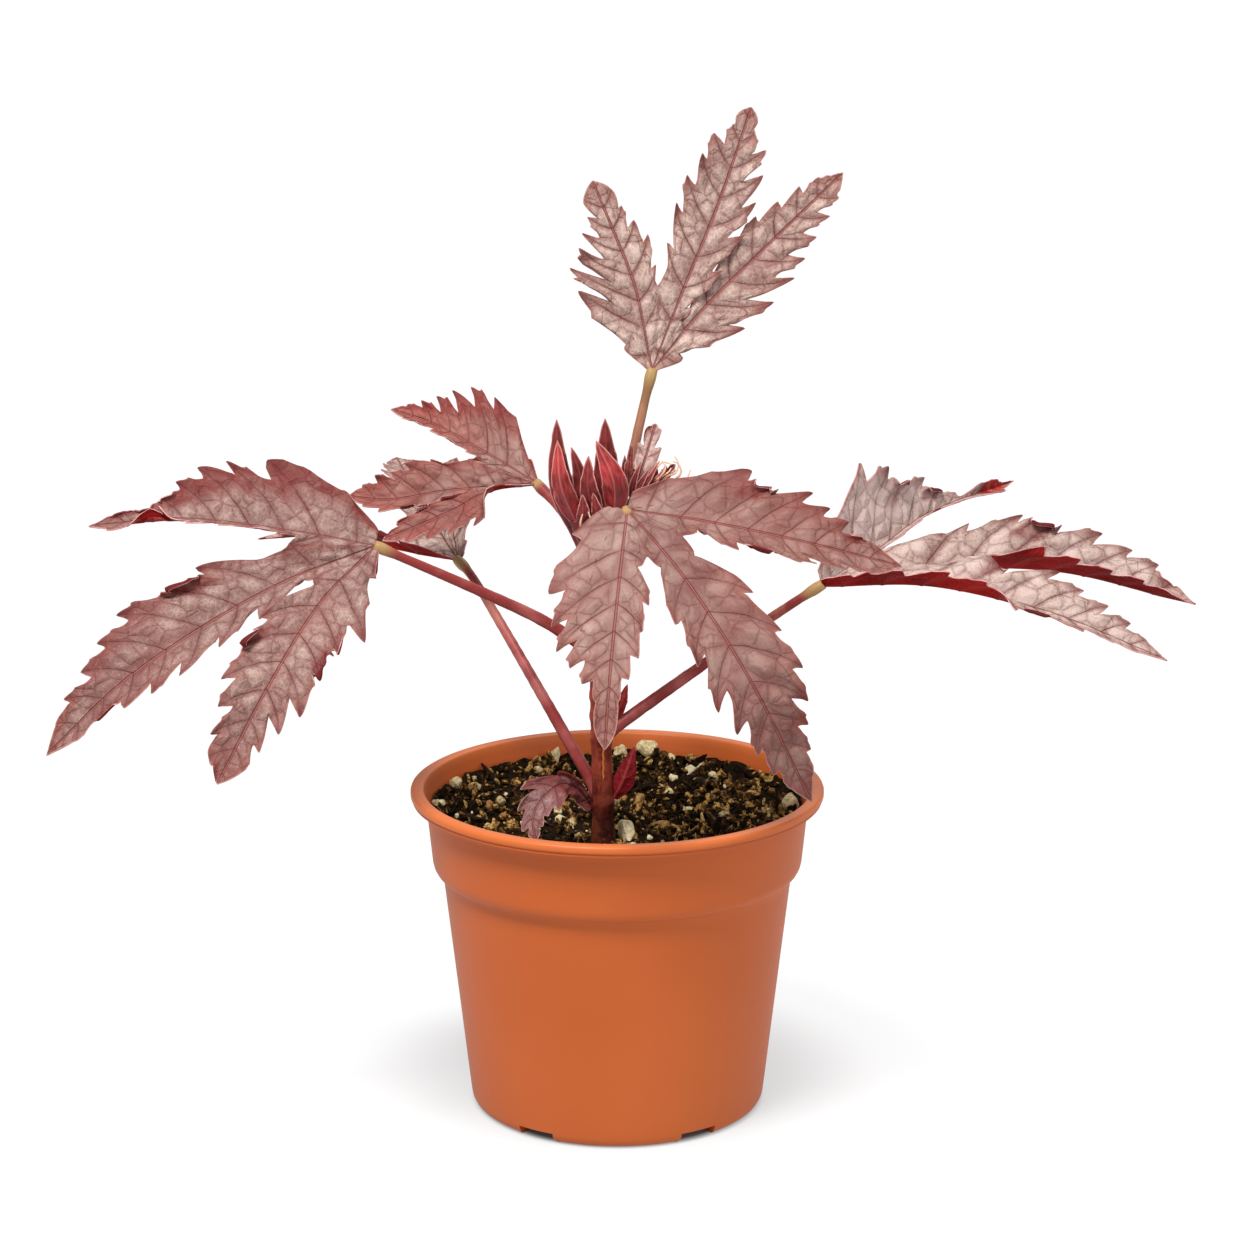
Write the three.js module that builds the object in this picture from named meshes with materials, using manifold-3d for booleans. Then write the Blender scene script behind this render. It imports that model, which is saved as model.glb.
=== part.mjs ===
// A young hibiscus shrub in its round nursery pot, in millimetres, +Z up.
// The origin is the centre of the pot's flat underside, and the pot's front faces -Y.
// It is one standing thing with nothing that moves: the pot, the potting mix in it, one main
// stem, the long leaf stalks, six lobed leaves, and the small leaves and buds.
import * as THREE from "three";
import { mergeGeometries, mergeVertices } from "three/addons/utils/BufferGeometryUtils.js";
import Module from "manifold-3d";

const wasm = await Module();
wasm.setup();

// Pot: radii and heights of the outside, from the foot up
const STANDING_RADIUS = 40.5;
const FOOT_RADIUS = 43.2;
const FOOT_Z = 3;
const BODY_TOP_RADIUS = 51;
const SHOULDER_Z = 70.5;
// The soft step from the body out to the collar, as radii and heights
const COLLAR_STEP = [
  [52.3, 71.4],
  [53.5, 73],
];
const COLLAR_FOOT_RADIUS = 53.9;
const COLLAR_FOOT_Z = 74.6;
const COLLAR_TOP_RADIUS = 55.5;
const COLLAR_TOP_Z = 90;
const COLLAR_FLARE = 1.6;
const RIM_RADIUS = 60;
const RIM_INNER_RADIUS = 56;
const RIM_DEPTH = 2.7;
const RIM_ROUNDING = 0.7;
const POT_HEIGHT = 95.5;
const POT_WALL = 1.4;
const POT_FLOOR = 1.6;
const FLOOR_CORNER = 0.6;
const POT_SIDES = 48;

// Drain recesses round the foot, as degrees from the front
const DRAIN_ANGLES = [-147, -90, -33, 33, 90, 147];
const DRAIN_WIDTH = 10;
const DRAIN_HEIGHT = 2.8;
const DRAIN_INNER_RADIUS = 34;

// Potting mix: level round the stem, and banked up towards the wall like a dish
const MIX_TOP_Z = 82.5;
const MIX_EDGE_Z = 90;
const MIX_LEVEL_RADIUS = 8;
const MIX_BANK_POWER = 3;
const MIX_RINGS = [50.5, 46, 38, 30, 22, 14, 7];
const MIX_BUMP = 1.2;
const MIX_BUMP_WAVES = [0.35, 0.31];
const MIX_BUMPY_FROM = 20;

// Every piece keeps this far from the piece that carries it
const SEAT_GAP = 0.3;

// Stem and stalks
const STEM_SIDES = 12;
const STEM_STEP = 8;
const STEM_FOOT_RADIUS = 3.1;
const STEM_TIP_RADIUS = 2.3;
const STALK_SIDES = 8;
const STALK_STEP = 9;
const STALK_FOOT_RADIUS = 1.8;
const STALK_TIP_RADIUS = 1.25;

// Blades: half widths are given at these shares of a lobe's length
const WIDTH_SHARES = [0, 0.14, 0.35, 0.6, 0.82, 1];
const BLADE_THICKNESS = 1;
const SMALL_BLADE_THICKNESS = 0.8;
const TOOTH_DEPTH = 0.3;
const TOOTH_CROWDING = 1.15;
const TIP_BLUNTNESS = 1.5;
const TIP_TURN_FROM = 0.6;
// The side veins run square to the midrib at the leaf's base and lean forward beyond it
const BASE_LEAN = 0;
const VEIN_LEAN = 0.75;
const LEAN_SPAN = 0.25;
// A side vein ends where the lobe's width abreast of its end says, which a few steps find
const LANDING_STEPS = 6;

// The notches between the teeth differ in depth from one to the next by a repeatable chance
const NOTCH_SPREAD = [0.7, 1.3];
const CHANCE_STRIDE = 12.9898;
const CHANCE_START = 78.233;
const CHANCE_HEIGHT = 43758.5453;

const PAINT = {
  pot: { color: 0xc4683a, roughness: 0.62, metalness: 0 },
  mix: { color: 0x2a1f17, roughness: 0.95, metalness: 0 },
  stem: { color: 0x7c3226, roughness: 0.6, metalness: 0 },
  stalk: { color: 0x95484a, roughness: 0.6, metalness: 0 },
  leaf: { color: 0x9b7672, roughness: 0.7, metalness: 0 },
  young: { color: 0xb02c30, roughness: 0.55, metalness: 0 },
};

// Routes of the stem and of each leaf stalk, from foot to tip
const STEM_ROUTE = [
  [-4, -15, MIX_TOP_Z + SEAT_GAP],
  [-4.2, -15, 98],
  [-4.8, -15, 125],
  [-5.6, -14.5, 145],
  [-7, -13, 172],
];
const STALK_ROUTES = {
  top: [
    [-5.8, -14, 155],
    [2, -9, 184],
    [8, 0, 209],
    [10, 2, 217],
  ],
  left: [
    [-5.4, -15, 138],
    [-21, -18, 149],
    [-38, -21, 158],
    [-67, -25, 172],
  ],
  front: [
    [-4.8, -15, 126],
    [-2, -25, 155],
    [1.5, -34, 177],
    [3, -38, 185],
  ],
  upper_left: [
    [-6.5, -13.4, 162],
    [-14.5, -2, 175.5],
    [-23, 8, 183],
  ],
  right: [
    [-4.5, -15, 114],
    [21, -12, 132],
    [44, -10, 148],
    [58, -12, 158],
  ],
  back: [
    [-4.2, -15, 95],
    [-21, -6, 123],
    [-43, 22, 153],
    [-47, 28, 156],
  ],
};

// The lobed leaves. A leaf's lobes are listed from its left to its right, seen from above with
// the tips pointing away. Each lobe has its midrib's bends and tip, the way its upper side
// faces, how far its halves fold up in degrees, and the half widths of its left and right.
// join is how far neighbouring lobes are one blade, in stations of half a tooth.
const LEAVES = {
  top: {
    face: [0.05, -0.95, 0.3],
    join: [3, 3],
    lobes: [
      {
        midrib: [
          [5, 8, 240],
          [-1, 12, 255],
          [-7, 14, 269],
        ],
        fold: [8, 8],
        left: [3, 13, 19, 17, 9],
        right: [0, 5, 6.5, 9, 7],
        teeth: 6,
      },
      {
        midrib: [
          [18, 8, 237],
          [29, 16, 263],
          [38, 20, 289],
        ],
        fold: [8, 8],
        left: [0, 5, 9, 13, 11.5],
        right: [0, 4.5, 7.5, 11.5, 12],
        teeth: 7,
      },
      {
        midrib: [
          [24, 8, 233],
          [41, 14, 249],
          [64, 16, 271],
        ],
        fold: [8, 8],
        left: [0, 4, 5.5, 9, 9],
        right: [3, 9, 13, 14, 9],
        teeth: 7,
      },
    ],
  },
  left: {
    face: [0.18, -0.66, 0.73],
    join: [3, 3],
    lobes: [
      {
        midrib: [
          [-81, -42, 160],
          [-94, -62, 141],
          [-107, -72, 117],
        ],
        fold: [8, 8],
        left: [4, 13, 14, 13, 8],
        right: [0, 5, 12, 13.5, 10.5],
        teeth: 7,
      },
      {
        midrib: [
          [-95, -38, 163],
          [-132, -52, 142],
          [-155, -58, 121],
        ],
        fold: [24, 12],
        left: [0, 5, 9, 12.5, 11],
        right: [0, 6, 14, 18, 15],
        teeth: 8,
      },
      {
        midrib: [
          [-87, -26, 176],
          [-120, -26, 180],
          [-147, -22, 177],
        ],
        face: [0, -0.4, 0.92],
        fold: [34, 34],
        left: [0, 5, 11, 10, 6],
        right: [5, 15, 20.5, 18, 8],
        tipTurn: 70,
        teeth: 7,
      },
    ],
  },
  front: {
    face: [-0.1, -0.66, 0.74],
    join: [2, 2],
    lobes: [
      {
        midrib: [
          [25, -44, 183],
          [52, -48, 178],
          [78, -42, 170],
        ],
        fold: [10, 10],
        left: [6, 13, 18, 16, 8.5],
        right: [0, 4.5, 8, 9.5, 9.5],
        teeth: 7,
      },
      {
        midrib: [
          [18, -58, 171],
          [35, -72, 147],
          [53, -62, 109],
        ],
        face: [0.1, -0.93, 0.35],
        fold: [8, 8],
        left: [0, 5, 12.5, 16, 11],
        right: [0, 5, 10.5, 14, 10.5],
        teeth: 8,
      },
      {
        midrib: [
          [0, -62, 163],
          [-2, -76, 144],
          [-3, -80, 129],
        ],
        face: [-0.15, -0.75, 0.6],
        fold: [8, 8],
        left: [0, 6.5, 9.5, 9.5, 8.5],
        right: [9, 15, 19.5, 17.5, 10],
        teeth: 7,
      },
    ],
  },
  upper_left: {
    face: [0, -0.68, 0.74],
    join: [3, 3],
    lobes: [
      {
        midrib: [
          [-35, 6, 182],
          [-47, 4, 176],
          [-67, 0, 168],
        ],
        fold: [12, 12],
        left: [4, 6, 9, 7, 4.5],
        right: [0, 3, 5, 6.5, 5],
        teeth: 5,
      },
      {
        midrib: [
          [-50, 12, 180],
          [-66, 14, 177],
          [-78, 14, 178],
        ],
        fold: [20, 20],
        left: [0, 3, 5.5, 7, 5],
        right: [0, 4, 10, 12.5, 10],
        teeth: 6,
      },
      {
        midrib: [
          [-40, 18, 193],
          [-55, 24, 199],
          [-66, 28, 201],
        ],
        fold: [30, 12],
        left: [0, 3, 5, 5, 3.5],
        right: [4, 13, 18.5, 17.5, 9],
        teeth: 6,
      },
    ],
  },
  right: {
    face: [-0.1, -0.15, 0.98],
    join: [3, 5],
    lobes: [
      {
        midrib: [
          [69, 12, 166],
          [85, 38, 170],
          [120, 62, 173],
        ],
        fold: [42, 36],
        left: [8, 22, 23, 11, 4],
        right: [0, 5, 10, 8, 4],
        tipTurn: 80,
        teeth: 7,
      },
      {
        midrib: [
          [89, 0, 160],
          [128, 6, 158],
          [167, 6, 148],
        ],
        fold: [44, 36],
        left: [0, 6, 15, 19, 14],
        right: [0, 5, 12, 13, 8],
        teeth: 8,
      },
      {
        midrib: [
          [88, -20, 160],
          [120, -28, 154],
          [153, -32, 141],
        ],
        fold: [40, 34],
        left: [0, 5, 12, 14.5, 9.5],
        right: [4, 10, 12, 9, 5],
        teeth: 8,
      },
    ],
  },
  back: {
    face: [0, 0, 1],
    join: [3, 3],
    lobes: [
      {
        midrib: [
          [-62, 33, 158],
          [-86, 42, 161],
          [-108, 48, 158],
        ],
        fold: [14, 14],
        left: [6, 13, 14, 11, 6],
        right: [0, 5, 9, 9, 6],
        teeth: 7,
      },
      {
        midrib: [
          [-56, 54, 163],
          [-64, 80, 169],
          [-70, 104, 172],
        ],
        fold: [14, 14],
        left: [0, 5, 11, 13, 9],
        right: [0, 5, 11, 13, 9],
        teeth: 8,
      },
      {
        midrib: [
          [-48, 52, 164],
          [-48, 76, 174],
          [-46, 98, 181],
        ],
        fold: [14, 14],
        left: [0, 5, 9, 10, 7],
        right: [5, 11, 13, 10, 6],
        teeth: 7,
      },
    ],
  },
};

// Small leaves, with the route of the stalk for the one that has a stalk
const SMALL_LEAVES = {
  young_leaf: {
    junction: [4, -12.5, 182.5],
    face: [-0.1, -0.97, 0.2],
    join: [2, 2],
    lobes: [
      {
        midrib: [
          [3.5, -12.5, 189],
          [4.5, -12, 200],
        ],
        fold: [30, 30],
        left: [0, 1.2, 1.6, 1.5, 1],
        right: [0, 1, 1.3, 1.3, 0.9],
        teeth: 3,
      },
      {
        midrib: [
          [7, -12.5, 190],
          [11.5, -11, 201.5],
        ],
        fold: [10, 10],
        left: [0, 1.2, 2.2, 2.6, 1.9],
        right: [0, 1.5, 3.6, 4.2, 2.6],
        teeth: 5,
      },
      {
        midrib: [
          [9, -12.5, 186],
          [15.5, -11.5, 192],
        ],
        fold: [20, 20],
        left: [0, 1.2, 1.9, 2, 1.3],
        right: [0.8, 1.5, 2.2, 2, 1.2],
        teeth: 4,
      },
    ],
    stalk: [
      [-6, -15, 163],
      [-0.2, -15, 174.5],
      [4, -12.5, 182.5],
    ],
  },
  basal_leaf: {
    junction: [-8.6, -16.6, 94],
    face: [-0.4, -0.75, 0.5],
    join: [],
    lobes: [
      {
        midrib: [
          [-14, -21, 101],
          [-20, -28, 97],
          [-25, -35, 86.5],
        ],
        fold: [10, 10],
        left: [1.5, 3.6, 6.4, 7, 5],
        right: [1.5, 4, 7, 7.4, 5],
        teeth: 4,
      },
    ],
  },
  basal_bud_leaf: {
    junction: [-0.4, -15.5, 94.5],
    face: [-0.8, -0.5, 0.4],
    join: [],
    lobes: [
      {
        midrib: [
          [2.4, -15.5, 100],
          [4.8, -14, 111],
        ],
        fold: [35, 35],
        left: [1, 2.2, 3.2, 3, 1.6],
        right: [1, 2.2, 3.2, 3, 1.6],
        teeth: 2,
      },
    ],
  },
  axil_leaf: {
    junction: [-0.7, -15.6, 119.5],
    face: [-0.9, 0, 0.4],
    join: [],
    lobes: [
      {
        midrib: [
          [0.6, -16, 123],
          [3, -16, 130],
        ],
        fold: [40, 40],
        left: [0.5, 1.2, 1.7, 1.5, 0.9],
        right: [0.5, 1.2, 1.7, 1.5, 0.9],
        teeth: 2,
      },
    ],
  },
};
const YOUNG_STALK_RADIUS = 0.9;

// The two buds at the stem's tip. Each is a knot of folded blades that rise from one foot.
const BUD_SEAT_RADIUS = 1.2;
const BUD_FOOT_RADIUS = 1.9;
const BUDS = {
  bud_left: {
    seat: [-8.4, -13.8, 170],
    foot: [-10.5, -13, 177.5],
    blades: [
      { midrib: [[-17, -11, 190], [-17, -12, 205]], face: [0.2, 0.9, 0], width: 3.9, fold: 30 },
      { midrib: [[-16.5, -18, 190], [-16, -16.5, 200]], face: [0, 0.9, 0], width: 3, fold: 38 },
      { midrib: [[-11.5, -12, 189], [-12.5, -11, 197]], face: [-0.9, 0.2, 0], width: 2.4, fold: 45 },
    ],
  },
  bud_right: {
    seat: [-5, -13, 170],
    foot: [-3.8, -13, 177.5],
    blades: [
      { midrib: [[-3.2, -9.5, 190], [-3.2, -10.5, 205]], face: [0, 0.9, 0], width: 3.9, fold: 30 },
      { midrib: [[-0.6, -17.5, 189], [-5.2, -16.5, 200]], face: [0, 0.9, 0.1], width: 3.4, fold: 35 },
      { midrib: [[-8.2, -13.5, 188], [-7, -12, 197]], face: [0.9, 0.2, 0], width: 2.2, fold: 45 },
    ],
  },
};
const BUD_BLADE_SHAPE = [0.35, 0.75, 1, 0.95, 0.55];
const BUD_TEETH = 3;

// Each leaf's chances start from a seed of its own
const SEED_STRIDE = 100;
const SMALL_LEAF_SEED = 1000;
const BUD_SEED = 2000;

const plant = new THREE.Group();

function addPiece(name, geometry, paint) {
  const mesh = new THREE.Mesh(geometry, new THREE.MeshStandardMaterial(paint));
  mesh.name = name;
  plant.add(mesh);
}

// A closed geometry as a solid that can be joined and cut, and back again.
function toSolid(geometry) {
  const bare = geometry.clone();
  bare.deleteAttribute("normal");
  bare.deleteAttribute("uv");
  const welded = mergeVertices(bare, 1e-3);
  return new wasm.Manifold(
    new wasm.Mesh({
      numProp: 3,
      vertProperties: new Float32Array(welded.attributes.position.array),
      triVerts: new Uint32Array(welded.index.array),
    }),
  );
}

function toGeometry(solid) {
  const mesh = solid.getMesh();
  const geometry = new THREE.BufferGeometry();
  geometry.setAttribute("position", new THREE.BufferAttribute(mesh.vertProperties, 3));
  geometry.setIndex(new THREE.BufferAttribute(mesh.triVerts, 1));
  geometry.computeVertexNormals();
  return geometry;
}

function largestBody(solid) {
  return solid.decompose().reduce((a, b) => (a.volume() > b.volume() ? a : b));
}

function toVector([x, y, z]) {
  return new THREE.Vector3(x, y, z);
}

// A repeatable number from 0 to 1 for each seed: what a fast wave leaves over whole numbers.
function chance(seed) {
  const wave = Math.sin(seed * CHANCE_STRIDE + CHANCE_START) * CHANCE_HEIGHT;
  return wave - Math.floor(wave);
}

// A solid of revolution about +Z. The profile runs from the axis to the axis, foot first.
function turned(profile, sides) {
  const points = profile.map(([radius, z]) => new THREE.Vector2(radius, z));
  return new THREE.LatheGeometry(points, sides).rotateX(Math.PI / 2);
}

// The pot's lip is rounded with short arcs round a centre just inside its edge.
function lipArc(z, fromDegrees, toDegrees) {
  return [0, 1 / 3, 2 / 3, 1].map((t) => {
    const angle = THREE.MathUtils.degToRad(THREE.MathUtils.lerp(fromDegrees, toDegrees, t));
    const radius = RIM_RADIUS - RIM_ROUNDING + RIM_ROUNDING * Math.cos(angle);
    return [radius, z + RIM_ROUNDING * Math.sin(angle)];
  });
}

function potOutside() {
  const lipZ = POT_HEIGHT - RIM_DEPTH;
  return [
    [0, 0],
    [STANDING_RADIUS, 0],
    [FOOT_RADIUS - RIM_ROUNDING, FOOT_Z / 3],
    [FOOT_RADIUS, FOOT_Z],
    [BODY_TOP_RADIUS, SHOULDER_Z],
    ...COLLAR_STEP,
    [COLLAR_FOOT_RADIUS, COLLAR_FOOT_Z],
    [COLLAR_TOP_RADIUS, COLLAR_TOP_Z],
    [COLLAR_TOP_RADIUS + COLLAR_FLARE, lipZ],
    ...lipArc(lipZ + RIM_ROUNDING, -90, 0),
    ...lipArc(POT_HEIGHT - RIM_ROUNDING, 0, 90),
    [0, POT_HEIGHT],
  ];
}

// The room inside the wall, up to the collar, less a clearance for what fills it.
function potRoom(clearance) {
  const inset = POT_WALL + clearance;
  return [
    [0, POT_FLOOR + clearance],
    [FOOT_RADIUS - inset - FLOOR_CORNER, POT_FLOOR + clearance],
    [BODY_TOP_RADIUS - inset, SHOULDER_Z],
    [COLLAR_FOOT_RADIUS - inset, COLLAR_FOOT_Z],
  ];
}

function collarRadiusAt(z) {
  return THREE.MathUtils.mapLinear(
    z,
    COLLAR_FOOT_Z,
    COLLAR_TOP_Z,
    COLLAR_FOOT_RADIUS,
    COLLAR_TOP_RADIUS,
  );
}

// A radial block across the foot of the pot at an angle from the front, standing on z = low.
function footBlock(angle, width, innerRadius, low, high) {
  const length = RIM_RADIUS - innerRadius;
  const block = new THREE.BoxGeometry(width, length, high - low);
  block.translate(0, -innerRadius - length / 2, (high + low) / 2);
  return toSolid(block.rotateZ(THREE.MathUtils.degToRad(angle)));
}

function drainRoof(angle, clearance) {
  const inset = POT_WALL + clearance;
  const width = DRAIN_WIDTH + 2 * inset;
  return footBlock(angle, width, DRAIN_INNER_RADIUS - inset, 0, DRAIN_HEIGHT + inset);
}

function makePot() {
  const outside = toSolid(turned(potOutside(), POT_SIDES));
  const room = [
    ...potRoom(0),
    [COLLAR_TOP_RADIUS - POT_WALL, COLLAR_TOP_Z],
    [RIM_INNER_RADIUS, POT_HEIGHT - RIM_DEPTH / 2],
    [RIM_INNER_RADIUS, POT_HEIGHT + 1],
    [0, POT_HEIGHT + 1],
  ];
  let pot = outside.subtract(toSolid(turned(room, POT_SIDES)));
  for (const angle of DRAIN_ANGLES) pot = pot.add(drainRoof(angle, 0).intersect(outside));
  for (const angle of DRAIN_ANGLES) {
    pot = pot.subtract(footBlock(angle, DRAIN_WIDTH, DRAIN_INNER_RADIUS, -1, DRAIN_HEIGHT));
  }
  return toGeometry(pot);
}

// The mix fills the pot. Its top rises from the stem to the wall, with low bumps on it.
function makeMix() {
  const edge = collarRadiusAt(MIX_EDGE_Z) - POT_WALL - SEAT_GAP;
  const rings = [edge, ...MIX_RINGS, 0].map((radius) => [radius, MIX_EDGE_Z]);
  const mix = turned([...potRoom(SEAT_GAP), ...rings], POT_SIDES);
  const place = mix.attributes.position;
  const [stemX, stemY] = STEM_ROUTE[0];
  const [waveX, waveY] = MIX_BUMP_WAVES;
  for (let i = 0; i < place.count; i++) {
    const x = place.getX(i);
    const y = place.getY(i);
    const fromStem = Math.hypot(x - stemX, y - stemY);
    const fromLevel = Math.max(fromStem - MIX_LEVEL_RADIUS, 0);
    const bank = (fromLevel / (fromLevel + edge - Math.hypot(x, y))) ** MIX_BANK_POWER;
    const bumpy = THREE.MathUtils.smoothstep(fromStem, MIX_LEVEL_RADIUS, MIX_BUMPY_FROM);
    const bump = MIX_BUMP * Math.sin(1 + x * waveX) * Math.cos(y * waveY);
    const top = THREE.MathUtils.lerp(MIX_TOP_Z, MIX_EDGE_Z, Math.min(bank, 1));
    if (place.getZ(i) > MIX_TOP_Z) place.setZ(i, top + bumpy * bump);
  }
  let solid = toSolid(mix);
  for (const angle of DRAIN_ANGLES) solid = solid.subtract(drainRoof(angle, SEAT_GAP));
  return toGeometry(solid);
}

// A tapering limb: a cylinder whose rings are carried along a smooth route.
// With a level foot its first ring lies flat, as on a stem cut at the ground.
function limb(route, footRadius, tipRadius, sides, step, levelFoot = false) {
  const curve = new THREE.CatmullRomCurve3(route.map(toVector), false, "centripetal");
  const steps = Math.max(3, Math.round(curve.getLength() / step));
  const frames = curve.computeFrenetFrames(steps);
  const tube = new THREE.CylinderGeometry(1, 1, 1, sides, steps);
  const place = tube.attributes.position;
  for (let i = 0; i < place.count; i++) {
    const share = place.getY(i) + 0.5;
    const ring = Math.round(share * steps);
    const radius = THREE.MathUtils.lerp(footRadius, tipRadius, share);
    const point = curve.getPointAt(share);
    point.addScaledVector(frames.normals[ring], place.getX(i) * radius);
    point.addScaledVector(frames.binormals[ring], -place.getZ(i) * radius);
    if (levelFoot && ring === 0) point.z = route[0][2];
    place.setXYZ(i, point.x, point.y, point.z);
  }
  return tube;
}

// One lobe with its midrib as a curve from the leaf's junction to the lobe's tip.
function prepareLobe(leaf, lobe, index) {
  return {
    ...lobe,
    curve: new THREE.CatmullRomCurve3(
      [leaf.junction, ...lobe.midrib].map(toVector),
      false,
      "centripetal",
    ),
    face: toVector(lobe.face ?? leaf.face),
    seed: leaf.seed + 10 * index,
  };
}

// Place, direction and turned sideways directions at a share of the midrib's length.
function ribFrame(lobe, share) {
  const at = THREE.MathUtils.clamp(share, 0, 1);
  const along = lobe.curve.getTangentAt(at);
  const up = lobe.face.clone().addScaledVector(along, -lobe.face.dot(along)).normalize();
  const turn = (lobe.tipTurn ?? 0) * THREE.MathUtils.smoothstep(at, TIP_TURN_FROM, 1);
  up.applyAxisAngle(along, THREE.MathUtils.degToRad(turn));
  return { point: lobe.curve.getPointAt(at), up, across: along.clone().cross(up) };
}

// Half width abreast of a share of the midrib, over the tips of the teeth.
function halfWidth(widths, share) {
  let k = 0;
  while (k < widths.length - 2 && share > WIDTH_SHARES[k + 1]) k++;
  const t = Math.min((share - WIDTH_SHARES[k]) / (WIDTH_SHARES[k + 1] - WIDTH_SHARES[k]), 1);
  const eased = k === widths.length - 2 ? t ** TIP_BLUNTNESS : t;
  return THREE.MathUtils.lerp(widths[k], widths[k + 1], eased);
}

// The lobe is drawn along its side veins, which leave the midrib at stations and lean forward:
// two stations to a tooth, across from -1 at the left edge to 1 at the right.
function bladePoint(lobe, station, across) {
  const share = 1 - (1 - station / (2 * lobe.teeth)) ** TOOTH_CROWDING;
  const side = Math.sign(across);
  const widths = [...(side < 0 ? lobe.left : lobe.right), 0];
  const spread = THREE.MathUtils.smoothstep(share, 0, LEAN_SPAN);
  const lean = THREE.MathUtils.lerp(BASE_LEAN, VEIN_LEAN, spread) / lobe.curve.getLength();
  let reach = 0;
  for (let i = 0; i < LANDING_STEPS; i++) reach = halfWidth(widths, share + reach * lean);
  if (station % 2 === 0) {
    const luck = chance(lobe.seed + station + 0.5 * side);
    reach *= 1 - TOOTH_DEPTH * THREE.MathUtils.lerp(...NOTCH_SPREAD, luck);
  }
  reach *= Math.abs(across);
  const frame = ribFrame(lobe, share + reach * lean);
  const fold = THREE.MathUtils.degToRad(lobe.fold[side < 0 ? 0 : 1]);
  return frame.point
    .addScaledVector(frame.across, side * reach * Math.cos(fold))
    .addScaledVector(frame.up, reach * Math.sin(fold));
}

// Neighbouring lobes are one blade up to a shared point between them. This is that point.
function joinPoint(leftLobe, rightLobe, station) {
  return bladePoint(leftLobe, station, 1).add(bladePoint(rightLobe, station, -1)).multiplyScalar(0.5);
}

// The middle surface of one lobe, as a grid whose rows are stations along the midrib.
function lobeSheet(lobe, junction, joinLeft, joinRight) {
  const rows = 2 * lobe.teeth;
  const sheet = new THREE.PlaneGeometry(1, 1, 4, rows);
  const place = sheet.attributes.position;
  for (let i = 0; i < place.count; i++) {
    const across = 2 * sheet.attributes.uv.getX(i) - 1;
    const station = Math.round(sheet.attributes.uv.getY(i) * rows);
    const join = across < 0 ? joinLeft : across > 0 ? joinRight : null;
    let point = bladePoint(lobe, station, across);
    if (join && station <= join.station) {
      const edge = junction.clone().lerp(join.point, station / join.station);
      point = bladePoint(lobe, station, 0).lerp(edge, Math.abs(across));
    }
    place.setXYZ(i, point.x, point.y, point.z);
  }
  return sheet;
}

// Welds sheets into one surface and drops the faces that have shrunk to nothing.
function weldSheets(sheets) {
  const merged = mergeGeometries(sheets);
  merged.deleteAttribute("normal");
  merged.deleteAttribute("uv");
  const surface = mergeVertices(merged, 1e-3);
  const corners = surface.index.array;
  const kept = [];
  for (let i = 0; i < corners.length; i += 3) {
    const [a, b, c] = corners.slice(i, i + 3);
    if (a !== b && b !== c && a !== c) kept.push(a, b, c);
  }
  surface.setIndex(kept);
  surface.computeVertexNormals();
  return surface;
}

// A closed blade: the surface moved half the thickness each way, with a wall round its edge.
function thicken(surface, thickness) {
  const count = surface.attributes.position.count;
  const corners = surface.index.array;
  const places = [];
  for (const way of [1, -1]) {
    for (let i = 0; i < count; i++) {
      const point = new THREE.Vector3().fromBufferAttribute(surface.attributes.position, i);
      const normal = new THREE.Vector3().fromBufferAttribute(surface.attributes.normal, i);
      places.push(...point.addScaledVector(normal, (way * thickness) / 2));
    }
  }
  const faces = [];
  const edges = new Set();
  for (let i = 0; i < corners.length; i += 3) {
    const face = [corners[i], corners[i + 1], corners[i + 2]];
    faces.push(...face, ...face.map((corner) => corner + count).reverse());
    face.forEach((corner, k) => edges.add(`${corner} ${face[(k + 1) % 3]}`));
  }
  for (const edge of edges) {
    const [a, b] = edge.split(" ").map(Number);
    if (!edges.has(`${b} ${a}`)) faces.push(b, a, a + count, b, a + count, b + count);
  }
  const blade = new THREE.BufferGeometry();
  blade.setAttribute("position", new THREE.Float32BufferAttribute(places, 3));
  blade.setIndex(faces);
  blade.computeVertexNormals();
  return blade;
}

function makeBlade(leaf, thickness) {
  const lobes = leaf.lobes.map((lobe, index) => prepareLobe(leaf, lobe, index));
  const joins = leaf.join.map((station, i) => ({
    station,
    point: joinPoint(lobes[i], lobes[i + 1], station),
  }));
  const junction = toVector(leaf.junction);
  const sheets = lobes.map((lobe, i) => lobeSheet(lobe, junction, joins[i - 1], joins[i]));
  return thicken(weldSheets(sheets), thickness);
}

// A stalk ends clear of the stem at its foot and of its blade at its tip.
function makeStalk(route, footRadius, tipRadius, leaf, bladeThickness) {
  const stalk = toSolid(limb(route, footRadius, tipRadius, STALK_SIDES, STALK_STEP));
  const room = toSolid(makeBlade(leaf, bladeThickness + 2 * SEAT_GAP));
  const [before, end] = route.slice(-2).map(toVector);
  const back = before.sub(end).setLength(SEAT_GAP).toArray();
  return toGeometry(largestBody(stalk.subtract(stemRoom).subtract(room).subtract(room.translate(back))));
}

// A bud: folded blades that stand on one short foot and are fused with it.
function makeBud(bud, seed) {
  const foot = limb([bud.seat, bud.foot], BUD_SEAT_RADIUS, BUD_FOOT_RADIUS, STALK_SIDES, STALK_STEP);
  return bud.blades.reduce((solid, blade, index) => {
    const widths = BUD_BLADE_SHAPE.map((share) => share * blade.width);
    const lobe = {
      midrib: blade.midrib,
      fold: [blade.fold, blade.fold],
      left: widths,
      right: widths,
      teeth: BUD_TEETH,
    };
    const leaf = { junction: bud.foot, face: blade.face, join: [], lobes: [lobe], seed: seed + index };
    return solid.add(toSolid(makeBlade(leaf, SMALL_BLADE_THICKNESS)));
  }, toSolid(foot));
}

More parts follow.
